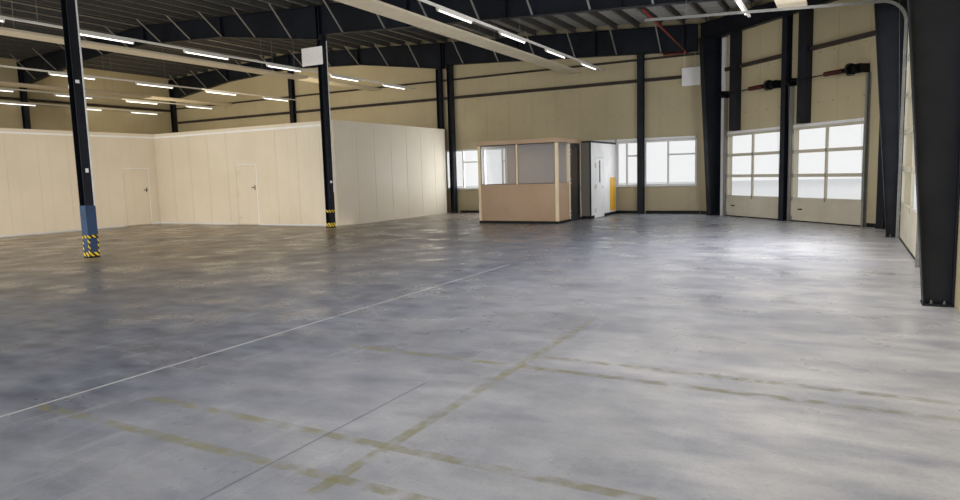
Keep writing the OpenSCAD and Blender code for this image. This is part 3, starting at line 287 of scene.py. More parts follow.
def galvanised(name, light, dark, metallic, roughness):
    # hot-dip zinc: dull grey with a faint spangle about 12 mm across, drawn at 40 mm so that it shows
    finish, tree, shader, place = newFinish(name, light, roughness, metallic)
    spangle = addNode(tree, "TexVoronoi", {"Vector": place, "Scale": 1000 / zinc["spangleMm"]}, feature="F1")
    tone = addNode(tree, "SeparateColor", {"Color": spangle.outputs["Color"]})
    colour = covered(tree, light, dark, tone.outputs[0], zinc["share"])
    tree.links.new(colour, shader.inputs["Base Color"])
    varyRoughness(tree, shader, place, roughness - zinc["smoother"], roughness + zinc["rougher"],
                  zinc["roughMm"])
    return finish


coat = {"smoother": 0.06, "rougher": 0.08, "relief": 0.3}


def plainCoat(name, light, dark, roughness, patchMm=500, metallic=0.0, grainMm=3.0, reliefMm=0.2):
    # even factory coat with a little age: two close tones and a fine skin
    finish, tree, shader, place = newFinish(name, light, roughness, metallic)
    colour = mottled(tree, place, (dark, light), patchMm, detail=5, contrast=(0.25, 0.6))
    tree.links.new(colour, shader.inputs["Base Color"])
    varyRoughness(tree, shader, place, roughness - coat["smoother"], roughness + coat["rougher"], patchMm / 3)
    bumped(tree, shader, patches(tree, place, grainMm), reliefMm, coat["relief"])
    return finish


glass = {"roughness": 0.04, "ior": 1.5, "smearMm": 1000 / 3, "smear": (0.02, 0.1)}


def clearPane(name, tint, alpha):
    # float glass: nearly all light passes, what stays is its gloss and a little smear
    finish, tree, shader, place = newFinish(name, tint, glass["roughness"], Alpha=alpha, IOR=glass["ior"])
    smear = patches(tree, place, glass["smearMm"], detail=6.0, to=glass["smear"])
    tree.links.new(smear, shader.inputs["Roughness"])
    finish.surface_render_method = "BLENDED"
    return finish


def zoned(finish, axis, limit, above, colour):
    # another colour on one side of a plane through the piece, such as a painted part on a zinc one
    tree = finish.node_tree
    shader = tree.nodes["Principled BSDF"]
    source = shader.inputs["Base Color"].links[0].from_socket
    mask = beyondMask(tree, addNode(tree, "TexCoord").outputs["Object"], axis, limit, above, soft=0.003)
    tree.links.new(covered(tree, source, colour, mask), shader.inputs["Base Color"])
    return finish


lap = {"pitch": 1.6, "colour": "#44474A", "share": 0.6, "edge": (0.9955, 0.998)}


def lapped(finish):
    # welded laps between the sheets of a roof membrane, 40 mm wide and darker than the sheets
    tree = finish.node_tree
    shader = tree.nodes["Principled BSDF"]
    source = shader.inputs["Base Color"].links[0].from_socket
    split = addNode(tree, "SeparateXYZ", {"Vector": addNode(tree, "TexCoord").outputs["Object"]})
    turn = addNode(tree, "Math", {0: split.outputs["X"], 1: 2 * math.pi / lap["pitch"]}, operation="MULTIPLY")
    wave = addNode(tree, "Math", {0: turn.outputs[0]}, operation="COSINE")
    mask = addNode(tree, "MapRange", {"Value": wave.outputs[0], "From Min": lap["edge"][0],
                                      "From Max": lap["edge"][1]})
    colour = covered(tree, source, lap["colour"], mask.outputs["Result"], lap["share"])
    tree.links.new(colour, shader.inputs["Base Color"])
    return finish


glow = {"tint": "#FFFCF4", "strength": 2.2, "glass": "#FFFFFF", "shade": "#F6F2E8", "patchMm": 500}


def tubeGlow():
    # lit tube: an even, slightly warm white that outshines its housing
    finish, tree, shader, place = newFinish("tubeGlow", glow["glass"], 0.3,
                                            Emission_Color=linearOf(glow["tint"]),
                                            Emission_Strength=glow["strength"])
    tone = covered(tree, glow["glass"], glow["shade"], patches(tree, place, glow["patchMm"]))
    tree.links.new(tone, shader.inputs["Base Color"])
    return finish


stripes = {"black": "#17171A", "yellow": ("#B89A20", "#E2C437"), "stripeMm": 60, "patchMm": 60, "soft": 0.1}


def hazardTape():
    # glossy vinyl with yellow and black stripes, 60 mm each, that run at 45 degrees round the column
    finish, tree, shader, place = newFinish("hazardTape", "#E0C02A", 0.35)
    split = addNode(tree, "SeparateXYZ", {"Vector": place})
    across = addNode(tree, "Math", {0: split.outputs["X"], 1: split.outputs["Y"]}, operation="ADD")
    slant = addNode(tree, "Math", {0: across.outputs[0], 1: split.outputs["Z"]}, operation="ADD")
    turn = addNode(tree, "Math", {0: slant.outputs[0], 1: 2 * math.pi / (2 * stripes["stripeMm"] / 1000)},
                   operation="MULTIPLY")
    wave = addNode(tree, "Math", {0: turn.outputs[0]}, operation="SINE")
    mask = addNode(tree, "MapRange", {"Value": wave.outputs[0], "From Min": -stripes["soft"],
                                      "From Max": stripes["soft"]})
    worn = mottled(tree, place, stripes["yellow"], stripes["patchMm"])
    colour = covered(tree, stripes["black"], worn, mask.outputs["Result"])
    tree.links.new(colour, shader.inputs["Base Color"])
    return finish


storeLow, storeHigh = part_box("store_walls")
sheetEdge = 0.006  # the store's near face is darker grey to that depth
bendLow = 3.83  # above this height the tracks of the loading doors are painted black
finishes = {
    "concrete": sealedConcrete(),
    "navy": navyPaint(),
    # zinc-coated sections and deck: dull metal with a faint spangle; the conduits are plated and even
    "purlin": galvanised("galvanisedPurlin", "#6B6A66", "#4E4D4A", 0.4, 0.55),
    "deck": galvanised("coatedDeck", "#A9A69C", "#8F8C84", 0.1, 0.5),
    "track": galvanised("galvanisedTrack", "#A2A29C", "#83837E", 0.6, 0.45),
    "doorTrack": zoned(galvanised("doorTrackZinc", "#A2A29C", "#83837E", 0.6, 0.45), "Z",
                       floorTop + bendLow, True, "#1B1B1E"),
    "conduit": plainCoat("conduitZinc", "#E2E0DA", "#D2D0CA", 0.4, 300, metallic=0.1),
    # coated sheet, panels and profiles: even and satin
    "wall": sandwichPanel("wallPanel", "#BFB28F", "#A99C7B", 333, 0.35),
    "white": sandwichPanel("enclosurePanel", "#DDD3BE", "#CCC1AA", 1000, 0.12),
    "section": plainCoat("stuccoSection", "#C6BEA8", "#B4AC96", 0.5, 900, grainMm=6, reliefMm=0.5),
    "trim": plainCoat("anthraciteTrim", "#474C53", "#3C4148", 0.45, 1200),
    "frameWhite": plainCoat("windowProfile", "#E6E6E2", "#D8D8D2", 0.35, 600),
    "cream": plainCoat("creamProfile", "#D9C6A2", "#CBB691", 0.45),
    "anthracite": plainCoat("anthraciteProfile", "#26292D", "#1C1F22", 0.45),
    "cabin": zoned(plainCoat("cabinSheet", "#D8D6D2", "#C6C4BF", 0.45, 700), "Y",
                   storeLow.y + sheetEdge, False, "#6B675F"),
    "blueSheet": plainCoat("blueCladding", "#2E4564", "#22354E", 0.42, 300),
    "yellowSheet": plainCoat("yellowSheet", "#D9A62B", "#C2911F", 0.45, 500),
    # enamel and paint on steel: smooth, a little dusty
    "girt": plainCoat("brownSteel", "#3A322B", "#2A2521", 0.6, 700),
    "heater": plainCoat("creamHeater", "#C2B69C", "#B4A88E", 0.42, 1500),
    "lamp": plainCoat("lampHousing", "#DAD6CA", "#CBC7BA", 0.45, 900),
    "springRed": plainCoat("springPaint", "#4A1A16", "#321210", 0.4, 200),
    "redOxide": plainCoat("redOxidePipe", "#7A2C22", "#5C2019", 0.5, 400),
    # plastics, membrane, board and tape: no metal in them, mostly matt
    "black": plainCoat("blackPlinth", "#17181A", "#0F1011", 0.6),
    "sign": plainCoat("whiteBoard", "#F0EEE8", "#E2E0DA", 0.5, 400),
    "board": plainCoat("tanBoard", "#A98F73", "#9B8165", 0.5, 1100),
    "membrane": lapped(plainCoat("roofMembrane", "#66696C", "#5B5E61", 0.8, 3500, grainMm=8, reliefMm=0.6)),
    "hazardTape": hazardTape(),
    # glass: clear, tinted and the lit tube
    "pane": clearPane("windowPane", "#E8F0F2", 0.1),
    "darkPane": clearPane("tintedPane", "#2A3033", 0.45),
    "tubeGlow": tubeGlow(),
}
nodeFinish = {
    "floor_slab": "concrete", "columns_left": "navy", "columns_middle": "navy", "columns_right": "navy",
    "gable_posts": "navy", "corner_columns": "navy", "rafters_left": "navy", "rafters_right": "navy",
    "corner_beam": "navy", "purlins_left": "purlin", "purlins_right": "purlin", "fly_braces": "track",
    "roof_deck": "deck", "roof_insulation": "membrane", "roof_trim": "trim", "party_wall": "wall",
    "far_wall": "wall", "corner_wall": "wall", "right_wall": "wall", "wall_girts": "girt",
    "window_frames": "frameWhite", "window_glass": "pane", "loading_doors": "section",
    "loading_door_glass": "pane", "loading_door_tracks": "doorTrack", "gate_leaf": "section",
    "gate_glass": "pane", "gate_tracks": "track", "enclosure_long_wall": "white",
    "enclosure_front_wall": "white", "enclosure_end_wall": "white", "enclosure_near_wall": "white",
    "enclosure_ceiling": "white", "enclosure_long_door": "white", "enclosure_front_door": "white",
    "office_base": "black", "office_frame": "cream", "office_boards": "board", "office_glass": "pane",
    "office_roof": "board", "office_door": "anthracite", "office_door_glass": "darkPane",
    "store_walls": "cabin", "store_roof": "anthracite", "store_door": "cabin", "door_hinges": "white",
    "ceiling_heaters": "heater", "light_lines": "lamp", "hanger_rods": "track", "conduits": "conduit",
    "sign_boards": "sign",
}
for nodeName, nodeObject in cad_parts.items():
    nodeObject.data.materials.clear()
    nodeObject.data.materials.append(finishes[nodeFinish[nodeName]])
print("finishes on", len(nodeFinish), "nodes")


def addBox(bm, low, high):
    middle = [(a + b) / 2 for a, b in zip(low, high)]
    size = [b - a for a, b in zip(low, high)]
    bmesh.ops.create_cube(bm, size=1, matrix=Matrix.Translation(middle) @ Matrix.Diagonal((*size, 1)))


def addRod(bm, start, end, radius, sides=12):
    start, end = Vector(start), Vector(end)
    along = end - start
    turn = along.to_track_quat("Z", "Y").to_matrix().to_4x4()
    bmesh.ops.create_cone(bm, cap_ends=True, segments=sides, radius1=radius, radius2=radius,
                          depth=along.length, matrix=Matrix.Translation((start + end) / 2) @ turn)


def addRun(bm, points, radius, bendRadius):
    # a pipe along points, with a ball in each bend
    for start, end in zip(points, points[1:]):
        addRod(bm, start, end, radius)
    for point in points[1:-1]:
        bmesh.ops.create_icosphere(bm, subdivisions=2, radius=bendRadius, matrix=Matrix.Translation(point))


def addRing(bm, centre, axis, radius, wire, around=18, sides=6):
    # a ring of round wire
    turn = Matrix.Translation(centre) @ Vector(axis).to_track_quat("Z", "Y").to_matrix().to_4x4()
    loops = []
    for i in range(around):
        a = 2 * math.pi * i / around
        loops.append([bm.verts.new(turn @ Vector((
            (radius + wire * math.cos(b)) * math.cos(a), (radius + wire * math.cos(b)) * math.sin(a),
            wire * math.sin(b)))) for b in (2 * math.pi * k / sides for k in range(sides))])
    for i in range(around):
        for k in range(sides):
            here, there = loops[i], loops[(i + 1) % around]
            bm.faces.new((here[k], here[(k + 1) % sides], there[(k + 1) % sides], there[k]))


def piece(name, finish, draw, body="hall", place=None, smooth=False):
    # one mesh object with one finish that rides on one body
    bm = bmesh.new()
    draw(bm)
    if place is not None:
        bm.transform(place)
    bmesh.ops.recalc_face_normals(bm, faces=bm.faces)
    mesh = bpy.data.meshes.new(name)
    bm.to_mesh(mesh)
    bm.free()
    mesh.materials.append(finishes[finish])
    for face in mesh.polygons:
        face.use_smooth = smooth
    made = bpy.data.objects.new(name, mesh)
    bpy.context.scene.collection.objects.link(made)
    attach(made, body)
    print("piece", name, len(mesh.polygons), "faces")
    return made


# The cut wall's frame: x runs along its inner face from the far end, y points out of the hall
cornerCut = 5.59
cutTurn = Matrix.Rotation(math.radians(-45), 4, "Z")
cutFrame = Matrix.Translation((rightFace - cornerCut, farFace, 0)) @ cutTurn
cutLength = cornerCut * math.sqrt(2)
dock = {"first": 1.56, "between": 0.56, "width": 2.4, "height": 2.6, "low": 0.64, "rows": 3, "shaft": 3.95}
gate = {"width": 4.5, "height": 4.4, "low": 0.72, "rows": 5, "shaft": 5.13, "beforeRow2": 0.27}
gateNear = rows[2] - gate["beforeRow2"] - gate["width"]
# The gate's frame: x runs from the near jamb to the far one, y points out of the hall
gateFrame = Matrix(((0, 1, 0, rightFace), (1, 0, 0, gateNear), (0, 0, 1, 0), (0, 0, 0, 1)))
# Leaf and fittings of a sectional door, measured in the door's own frame
leaf = {"thick": 0.05, "lap": 0.06, "shaftIn": 0.27, "skin": 0.0006}
hinge = {"edge": 0.035, "width": 0.055, "height": 0.11, "plate": 0.0025, "knuckle": 0.007,
         "boltUp": 0.036, "bolt": 0.008}
bracket = {"edge": 0.03, "half": 0.028, "thick": 0.003, "height": 0.12, "low": 0.04, "belowTop": 0.16}
cable = {"edge": 0.004, "out": 0.016, "from": 0.1, "back": 0.09, "under": 0.03, "radius": 0.003}
shaft = {"past": 0.04, "seat": 0.0006, "drumIn": 0.06, "drum": 0.11}
coil = {"from": 0.56, "share": 0.24, "pitch": 0.014, "radius": 0.055, "wire": 0.006}
groove = {"count": 5, "first": 0.037, "pitch": 0.009, "small": 0.09, "large": 0.12, "inner": 0.014,
          "wire": 0.0045}
hoist = {"before": 0.19, "count": 3, "first": 0.01, "pitch": 0.02, "radius": 0.15, "wire": 0.005}
seal = {"edge": 0.002, "thick": 0.012, "height": 0.03}
pull = {"from": 0.3, "to": 0.44, "low": 0.34, "high": 0.37, "out": 0.03}
headSeal = {"above": 0.006, "top": 0.085, "deep": 0.03, "gap": 0.002}


def doorHardware(prefix, door, place):
    # what makes a sectional door read as one: hinge plates, cables, coils, drum grooves, seal and pull handle
    inner = -leaf["thick"] - leaf["skin"]
    left, right = -leaf["lap"], door["width"] + leaf["lap"]
    rowHeight = (door["height"] + leaf["lap"] - door["low"]) / door["rows"]
    joints = [floorTop + door["low"] + rowHeight * i for i in range(door["rows"])]
    top = floorTop + door["height"] + leaf["lap"]
    shaftZ = floorTop + door["shaft"]
    shaftY = -leaf["thick"] - leaf["shaftIn"]
    shaftStart = left - shaft["past"]
    shaftLength = right - left + 2 * shaft["past"]

    def plates(bm):
        half, knuckle, bolt = hinge["width"] / 2, hinge["knuckle"], hinge["bolt"]
        for z in joints:
            for x in (left + hinge["edge"], (left + right) / 2, right - hinge["edge"]):
                addBox(bm, (x - half, inner - hinge["plate"], z - hinge["height"] / 2),
                       (x + half, inner, z + hinge["height"] / 2))
                addRod(bm, (x - half, inner - knuckle, z), (x + half, inner - knuckle, z), knuckle, 8)
                for up in (-hinge["boltUp"], hinge["boltUp"]):
                    addRod(bm, (x, inner - bolt, z + up), (x, inner, z + up), bolt, 6)
        # corner brackets at the top and the foot of the leaf
        half = bracket["half"]
        for x in (left + bracket["edge"], right - bracket["edge"]):
            for z in (floorTop + bracket["low"], top - bracket["belowTop"]):
                addBox(bm, (x - half, inner - bracket["thick"], z), (x + half, inner, z + bracket["height"]))
    piece(prefix + "Hinges", "track", plates, place=place)

    def cables(bm):
        for x in (left + cable["edge"], right - cable["edge"]):
            addRod(bm, (x, inner - cable["out"], floorTop + cable["from"]),
                   (x, shaftY + cable["back"], shaftZ - cable["under"]), cable["radius"], 6)
    piece(prefix + "Cables", "track", cables, place=place)

    def coils(bm):
        length = shaftLength + shaft["seat"]
        start = shaftStart + length * coil["from"] + coil["pitch"] / 2
        for i in range(int(length * coil["share"] / coil["pitch"])):
            addRing(bm, (start + i * coil["pitch"], shaftY, shaftZ), (1, 0, 0), coil["radius"], coil["wire"])
    piece(prefix + "Coils", "springRed", coils, place=place, smooth=True)

    def drums(bm):
        # rope grooves between the rims of the two cable drums, and the ribs of the hoist's wheel
        farDrum = shaftStart + shaftLength - shaft["drumIn"] - shaft["drum"]
        for x, radius in ((shaftStart + shaft["drumIn"], groove["small"]), (farDrum, groove["large"])):
            for i in range(groove["count"]):
                addRing(bm, (x + groove["first"] + i * groove["pitch"], shaftY, shaftZ), (1, 0, 0),
                        radius - groove["inner"], groove["wire"], 24)
        for i in range(hoist["count"]):
            x = farDrum - hoist["before"] + hoist["first"] + i * hoist["pitch"]
            addRing(bm, (x, shaftY, shaftZ), (1, 0, 0), hoist["radius"], hoist["wire"], 32)
    piece(prefix + "Drums", "black", drums, place=place, smooth=True)

    def rubber(bm):
        # the seal along the foot of the leaf, and the pull handle
        low = floorTop + seal["edge"]
        addBox(bm, (left + seal["edge"], inner - seal["thick"], low),
               (right - seal["edge"], inner, low + seal["height"]))
        addBox(bm, (left + pull["from"], inner - pull["out"], floorTop + pull["low"]),
               (left + pull["to"], inner, floorTop + pull["high"]))
    piece(prefix + "Seal", "black", rubber, place=place)

    def headRail(bm):
        # the rail over the leaf that closes it against the wall
        addBox(bm, (left, -headSeal["deep"], top + headSeal["above"]),
               (right, -headSeal["gap"], top + headSeal["top"]))
    piece(prefix + "HeadRail", "frameWhite", headRail, place=place)


dockStarts = (dock["first"], dock["first"] + dock["width"] + dock["between"])
for number, start in enumerate(dockStarts):
    doorHardware("dock%d" % (number + 1), dock, cutFrame @ Matrix.Translation((start, 0, 0)))
doorHardware("gate", gate, gateFrame)

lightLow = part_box("light_lines")[0]
tube = {"pitch": 3.0, "length": 1.5, "start": 0.1, "radius": 0.016, "below": 0.012, "inset": 0.03,
        "cap": 0.028, "capHalf": 0.02, "capFrom": 0.002, "capUp": 0.001}
# place of each line from lineB, and how far it ends before row 3
lightLines = {6.93: 0.25, 12.6: 6.5, -1.2: 0.5, -7.6: 0.7, -12.6: 0.9, -16.7: 0.9}
tubeStarts = []
for place, gap in lightLines.items():
    along = lightLow.y + tube["start"]
    while along < rows[3] - gap - tube["length"]:
        tubeStarts.append((lineB + place, along, lightLow.z - tube["below"]))
        along += tube["pitch"]


def drawTubes(bm):
    inset = tube["inset"]
    for x, y, z in tubeStarts:
        addRod(bm, (x, y + inset, z), (x, y + tube["length"] - inset, z), tube["radius"], 10)


def drawTubeEnds(bm):
    half = tube["capHalf"]
    for x, y, z in tubeStarts:
        for end in (y + tube["capFrom"], y + tube["length"] - tube["inset"]):
            addBox(bm, (x - half, end, z - half), (x + half, end + tube["cap"], lightLow.z + tube["capUp"]))


piece("lampTubes", "tubeGlow", drawTubes, smooth=True)
piece("lampEnds", "lamp", drawTubeEnds)

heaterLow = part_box("ceiling_heaters")[0]
# place of each heater from lineB, and where it ends
heaterLines = {5.93: rows[3] - 0.7, 13.6: rows[2] + 0.3, -2.4: rows[3] - 1.5, -11.0: rows[3] - 1.5}
heater = {"half": 0.3, "thick": 0.055, "pipe": 0.017, "pipeSide": 0.16, "pipeUp": 0.02, "pipeIn": 0.05,
          "crossIn": 0.06, "cover": 0.25, "firstCover": 4, "coverPitch": 6, "lastCover": 1,
          "coverEdge": 0.001, "coverThick": 0.0015, "endUp": 0.004, "endThick": 0.012}


def drawHeaterPipes(bm):
    # two pipes over each heater and one that joins them at its end
    for place, stop in heaterLines.items():
        x, z = lineB + place, heaterLow.z + heater["thick"] + heater["pipeUp"]
        near, far = x - heater["pipeSide"], x + heater["pipeSide"]
        for side in (near, far):
            addRod(bm, (side, heaterLow.y + heater["pipeIn"], z), (side, stop - heater["pipeIn"], z),
                   heater["pipe"], 8)
        cross = stop - heater["crossIn"]
        addRod(bm, (near, cross, z), (far, cross, z), heater["pipe"], 8)


def drawHeaterCovers(bm):
    # a smooth cover plate over each joint of two panels, and a closed end
    wide = heater["half"] + heater["coverEdge"]
    for place, stop in heaterLines.items():
        x, z = lineB + place, heaterLow.z
        y = heaterLow.y + heater["firstCover"]
        while y < stop - heater["lastCover"]:
            addBox(bm, (x - wide, y, z - heater["coverThick"]), (x + wide, y + heater["cover"], z))
            y += heater["coverPitch"]
        addBox(bm, (x - heater["half"], stop, z + heater["endUp"]),
               (x + heater["half"], stop + heater["endThick"], z + heater["thick"]))


piece("heaterPipes", "cream", drawHeaterPipes, smooth=True)
piece("heaterCovers", "heater", drawHeaterCovers)

anchor = {"radius": 0.009, "nut": 0.016, "plate": 0.025, "alongX": 0.062, "alongY": 0.075,
          "boltUp": 0.035, "nutUp": 0.014, "rightFoot": 0.14}
twin = 0.265  # the twin columns stand this far on either side of lineB
columnPlaces = [(lineA, y) for y in rows] + [(lineB, y) for y in rows[:3]] + [
    (lineB - twin, rows[3]), (lineB + twin, rows[3])] + [
    (lineC + columnDepth / 2 - anchor["rightFoot"], y) for y in rows[:3]]


def drawAnchors(bm):
    # four bolts with nuts on each foot plate
    for x, y in columnPlaces:
        for dx in (-1, 1):
            for dy in (-1, 1):
                foot = (x + dx * anchor["alongX"], y + dy * anchor["alongY"], floorTop + anchor["plate"])
                addRod(bm, foot, (*foot[:2], foot[2] + anchor["boltUp"]), anchor["radius"], 8)
                addRod(bm, foot, (*foot[:2], foot[2] + anchor["nutUp"]), anchor["nut"], 6)


piece("columnAnchors", "track", drawAnchors)

cladding = {"gap": 0.0015, "thick": 0.003, "low": 0.026, "top": 1.16}
tape = {"thick": 0.001, "skin": 0.0005, "cornerWide": 0.03,
        "onCladding": ((0.03, 0.12), (0.44, 0.50)), "onColumn": ((0.03, 0.16), (0.5, 0.58))}
labels = {"thick": 0.001,
          # along the hall, height, width and height of each on the columns' right faces
          "side": ((rows[1], 1.88, 0.07, 0.09), (rows[1] - 0.03, 3.8, 0.09, 0.07),
                   (rows[2], 1.45, 0.1, 0.07)),
          # left and low corner, right and high corner of the one on the near face
          "front": ((-0.1, 3.7), (-0.088, 3.78))}


def sleeve(bm, x, y, halfX, halfY, low, high, thick):
    # four thin plates round an upright section
    addBox(bm, (x - halfX - thick, y - halfY - thick, low), (x + halfX + thick, y - halfY, high))
    addBox(bm, (x - halfX - thick, y + halfY, low), (x + halfX + thick, y + halfY + thick, high))
    addBox(bm, (x - halfX - thick, y - halfY, low), (x - halfX, y + halfY, high))
    addBox(bm, (x + halfX, y - halfY, low), (x + halfX + thick, y + halfY, high))


def drawCladding(bm):
    half = (columnDepth / 2 + cladding["gap"], columnWidth / 2 + cladding["gap"])
    low, high = floorTop + cladding["low"], floorTop + cladding["top"]
    sleeve(bm, lineB, rows[1], *half, low, high, cladding["thick"])


def drawHazardBands(bm):
    half = [size / 2 + cladding["gap"] + cladding["thick"] for size in (columnDepth, columnWidth)]
    for low, high in tape["onCladding"]:
        sleeve(bm, lineB, rows[1], *half, floorTop + low, floorTop + high, tape["thick"])
    # tape down the corners between the bands
    low, high = floorTop + tape["onCladding"][0][1], floorTop + tape["onCladding"][1][0]
    skin, wide = tape["skin"], tape["cornerWide"]
    for dx in (-1, 1):
        for dy in (-1, 1):
            x, y = lineB + dx * (half[0] + skin), rows[1] + dy * (half[1] + skin)
            addBox(bm, (min(x, x - dx * wide), y - skin, low), (max(x, x - dx * wide), y + skin, high))
            addBox(bm, (x - skin, min(y, y - dy * wide), low), (x + skin, max(y, y - dy * wide), high))
    half = (columnDepth / 2 + skin, columnWidth / 2 + skin)
    for low, high in tape["onColumn"]:
        sleeve(bm, lineB, rows[2], *half, floorTop + low, floorTop + high, tape["thick"])


def drawBlankLabels(bm):
    face, thick = lineB + columnDepth / 2, labels["thick"]
    for y, z, wide, high in labels["side"]:
        addBox(bm, (face, y - wide / 2, floorTop + z), (face + thick, y + wide / 2, floorTop + z + high))
    front = rows[1] - columnWidth / 2
    (left, low), (right, high) = labels["front"]
    addBox(bm, (lineB + left, front - thick, floorTop + low), (lineB + right, front, floorTop + high))


piece("columnCladding", "blueSheet", drawCladding)
piece("hazardBands", "hazardTape", drawHazardBands)
piece("blankLabels", "sign", drawBlankLabels)

# Start from lineB and width of each window of the far wall
windowSpans = ((-0.15, 1.8), (1.65, 1.87), (3.52, 1.87), (5.39, 1.87), (7.26, 0.825), (8.295, 1.85))
windows = {"sill": 1.0, "head": 2.63, "mullion": 0.46}
blindBox = {"side": 0.03, "up": 0.01, "height": 0.1, "deep": 0.085, "gap": 0.001}
windowHandle = {"right": 0.005, "up": 0.55, "behind": 0.01, "plateHalf": 0.014, "plateDeep": 0.012,
                "plateUp": 0.04, "neck": 0.007, "neckFrom": 0.035, "neckTo": 0.01, "gripHalf": 0.009,
                "gripFrom": 0.045, "gripTo": 0.03, "gripDown": 0.12, "gripUp": 0.012}
farSill = {"spans": ((0.5, 8.05), (8.35, 10.145)), "deep": 0.09, "thick": 0.022, "gap": 0.001}
baseStrip = {"high": 0.1, "low": 0.001, "thick": 0.007, "gap": 0.0005, "endIn": 0.01,
             "farStarts": (0.5, 8.35), "farStop": 8.05,
             # along the cut wall: between columns, doors and tracks
             "cut": ((0.02, 0.85), (1.15, dock["first"] - 0.32), (dock["first"] + dock["width"] + 0.15, 4.1),
                     (4.4, 4.42), (7.06, 7.5))}


def drawBlindBoxes(bm):
    for start, width in windowSpans:
        if start > 0:
            x, z = lineB + start, floorTop + windows["head"]
            addBox(bm, (x + blindBox["side"], farFace - blindBox["deep"], z + blindBox["up"]),
                   (x + width - blindBox["side"], farFace - blindBox["gap"], z + blindBox["height"]))


def drawWindowHandles(bm):
    h = windowHandle
    for start, width in windowSpans:
        x = lineB + start + width * windows["mullion"] + h["right"]
        z = floorTop + windows["sill"] + h["up"]
        y = farFace + h["behind"]
        addBox(bm, (x - h["plateHalf"], y - h["plateDeep"], z - h["plateUp"]),
               (x + h["plateHalf"], y, z + h["plateUp"]))
        addRod(bm, (x, y - h["neckFrom"], z), (x, y - h["neckTo"], z), h["neck"], 8)
        addBox(bm, (x - h["gripHalf"], y - h["gripFrom"], z - h["gripDown"]),
               (x + h["gripHalf"], y - h["gripTo"], z + h["gripUp"]))


def drawSills(bm):
    z = floorTop + windows["sill"]
    for low, high in farSill["spans"]:
        addBox(bm, (lineB + low, farFace - farSill["deep"], z - farSill["thick"]),
               (lineB + high, farFace - farSill["gap"], z - farSill["gap"]))


def drawBaseStrip(bm):
    first, second = baseStrip["farStarts"]
    farEnd = rightFace - cornerCut - baseStrip["endIn"]
    for low, high in ((lineB + first, lineB + baseStrip["farStop"]), (lineB + second, farEnd)):
        addBox(bm, (low, farFace - baseStrip["thick"], floorTop + baseStrip["low"]),
               (high, farFace - baseStrip["gap"], floorTop + baseStrip["high"]))


def drawCutStrip(bm):
    for low, high in baseStrip["cut"]:
        addBox(bm, (low, -baseStrip["thick"], floorTop + baseStrip["low"]),
               (high, -baseStrip["gap"], floorTop + baseStrip["high"]))


piece("blindBoxes", "frameWhite", drawBlindBoxes)
piece("windowHandles", "sign", drawWindowHandles)
piece("windowSills", "frameWhite", drawSills)
piece("baseStrip", "black", drawBaseStrip)
piece("cutStrip", "black", drawCutStrip, place=cutFrame)

screws = {"pitch": 0.5, "head": 0.006, "cutStart": 0.35, "cutCount": 14, "cutRadius": 0.014,
          "cutRows": (3.3, 4.62, 5.85), "farStart": -16.0, "farStop": 10.1, "farRadius": 0.012,
          "farRows": (3.6, 4.62, 5.9)}


def drawCutScrews(bm):
    # panel fixings with their washers, in rows under the girts
    for z in screws["cutRows"]:
        for i in range(screws["cutCount"]):
            x = screws["cutStart"] + i * screws["pitch"]
            addRod(bm, (x, -screws["head"], floorTop + z), (x, 0, floorTop + z), screws["cutRadius"], 8)


def drawFarScrews(bm):
    x = lineB + screws["farStart"]
    while x < lineB + screws["farStop"]:
        for z in screws["farRows"]:
            addRod(bm, (x, farFace - screws["head"], floorTop + z), (x, farFace, floorTop + z),
                   screws["farRadius"], 8)
        x += screws["pitch"]


piece("cutScrews", "black", drawCutScrews, place=cutFrame)
piece("farScrews", "black", drawFarScrews)

redPipe = {"radius": 0.032, "bendSwell": 1.04,
           "points": ((9.7, 6.4, 6.0), (9.81, 11.3, 5.62), (9.83, 11.83, 5.58), (9.0, 11.84, 5.6))}


def drawRedPipe(bm):
    points = [(lineB + x, y, floorTop + z) for x, y, z in redPipe["points"]]
    addRun(bm, points, redPipe["radius"], redPipe["radius"] * redPipe["bendSwell"])


piece("heatingPipe", "redOxide", drawRedPipe, smooth=True)

longLow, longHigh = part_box("enclosure_long_wall")
frontLow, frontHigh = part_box("enclosure_front_wall")
longDoorLow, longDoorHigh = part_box("enclosure_long_door")
frontDoorLow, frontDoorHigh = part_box("enclosure_front_door")
cap = {"high": 0.07, "under": 0.002, "thick": 0.003, "corner": 0.004}
skirting = {"high": 0.06, "low": 0.001, "thick": 0.004, "corner": 0.006, "hingeSide": 0.13, "lockSide": 0.02}
enclosure = {"endIn": 0.01, "panel": 0.12}
doorway = {"high": 2.15, "wide": 1.0, "fromCorner": 0.4, "profile": 0.035, "thick": 0.003, "low": 0.001,
           "gap": 0.003, "headPast": 0.002, "frontStart": 0.02, "frontGap": 0.004}


def drawEnclosureTrim(bm):
    # a cap along the top edge and a skirting profile, on the two faces that are seen
    x, y, top = longHigh.x, frontLow.y, longHigh.z
    near, right = longLow.y + enclosure["endIn"], frontHigh.x - enclosure["panel"]
    low, high = top - cap["high"], top - cap["under"]
    addBox(bm, (x, near, low), (x + cap["thick"], y - cap["corner"], high))
    addBox(bm, (x + cap["corner"], y - cap["thick"], low), (right, y, high))
    low, high, thick = floorTop + skirting["low"], floorTop + skirting["high"], skirting["thick"]
    for start, stop in ((near, longDoorLow.y - skirting["hingeSide"]),
                        (longDoorHigh.y + skirting["lockSide"], y - skirting["corner"])):
        addBox(bm, (x, start, low), (x + thick, stop, high))
    for start, stop in ((x + enclosure["endIn"], frontDoorLow.x - skirting["hingeSide"]),
                        (frontDoorHigh.x + skirting["lockSide"], right)):
        addBox(bm, (start, y - thick, low), (stop, y, high))


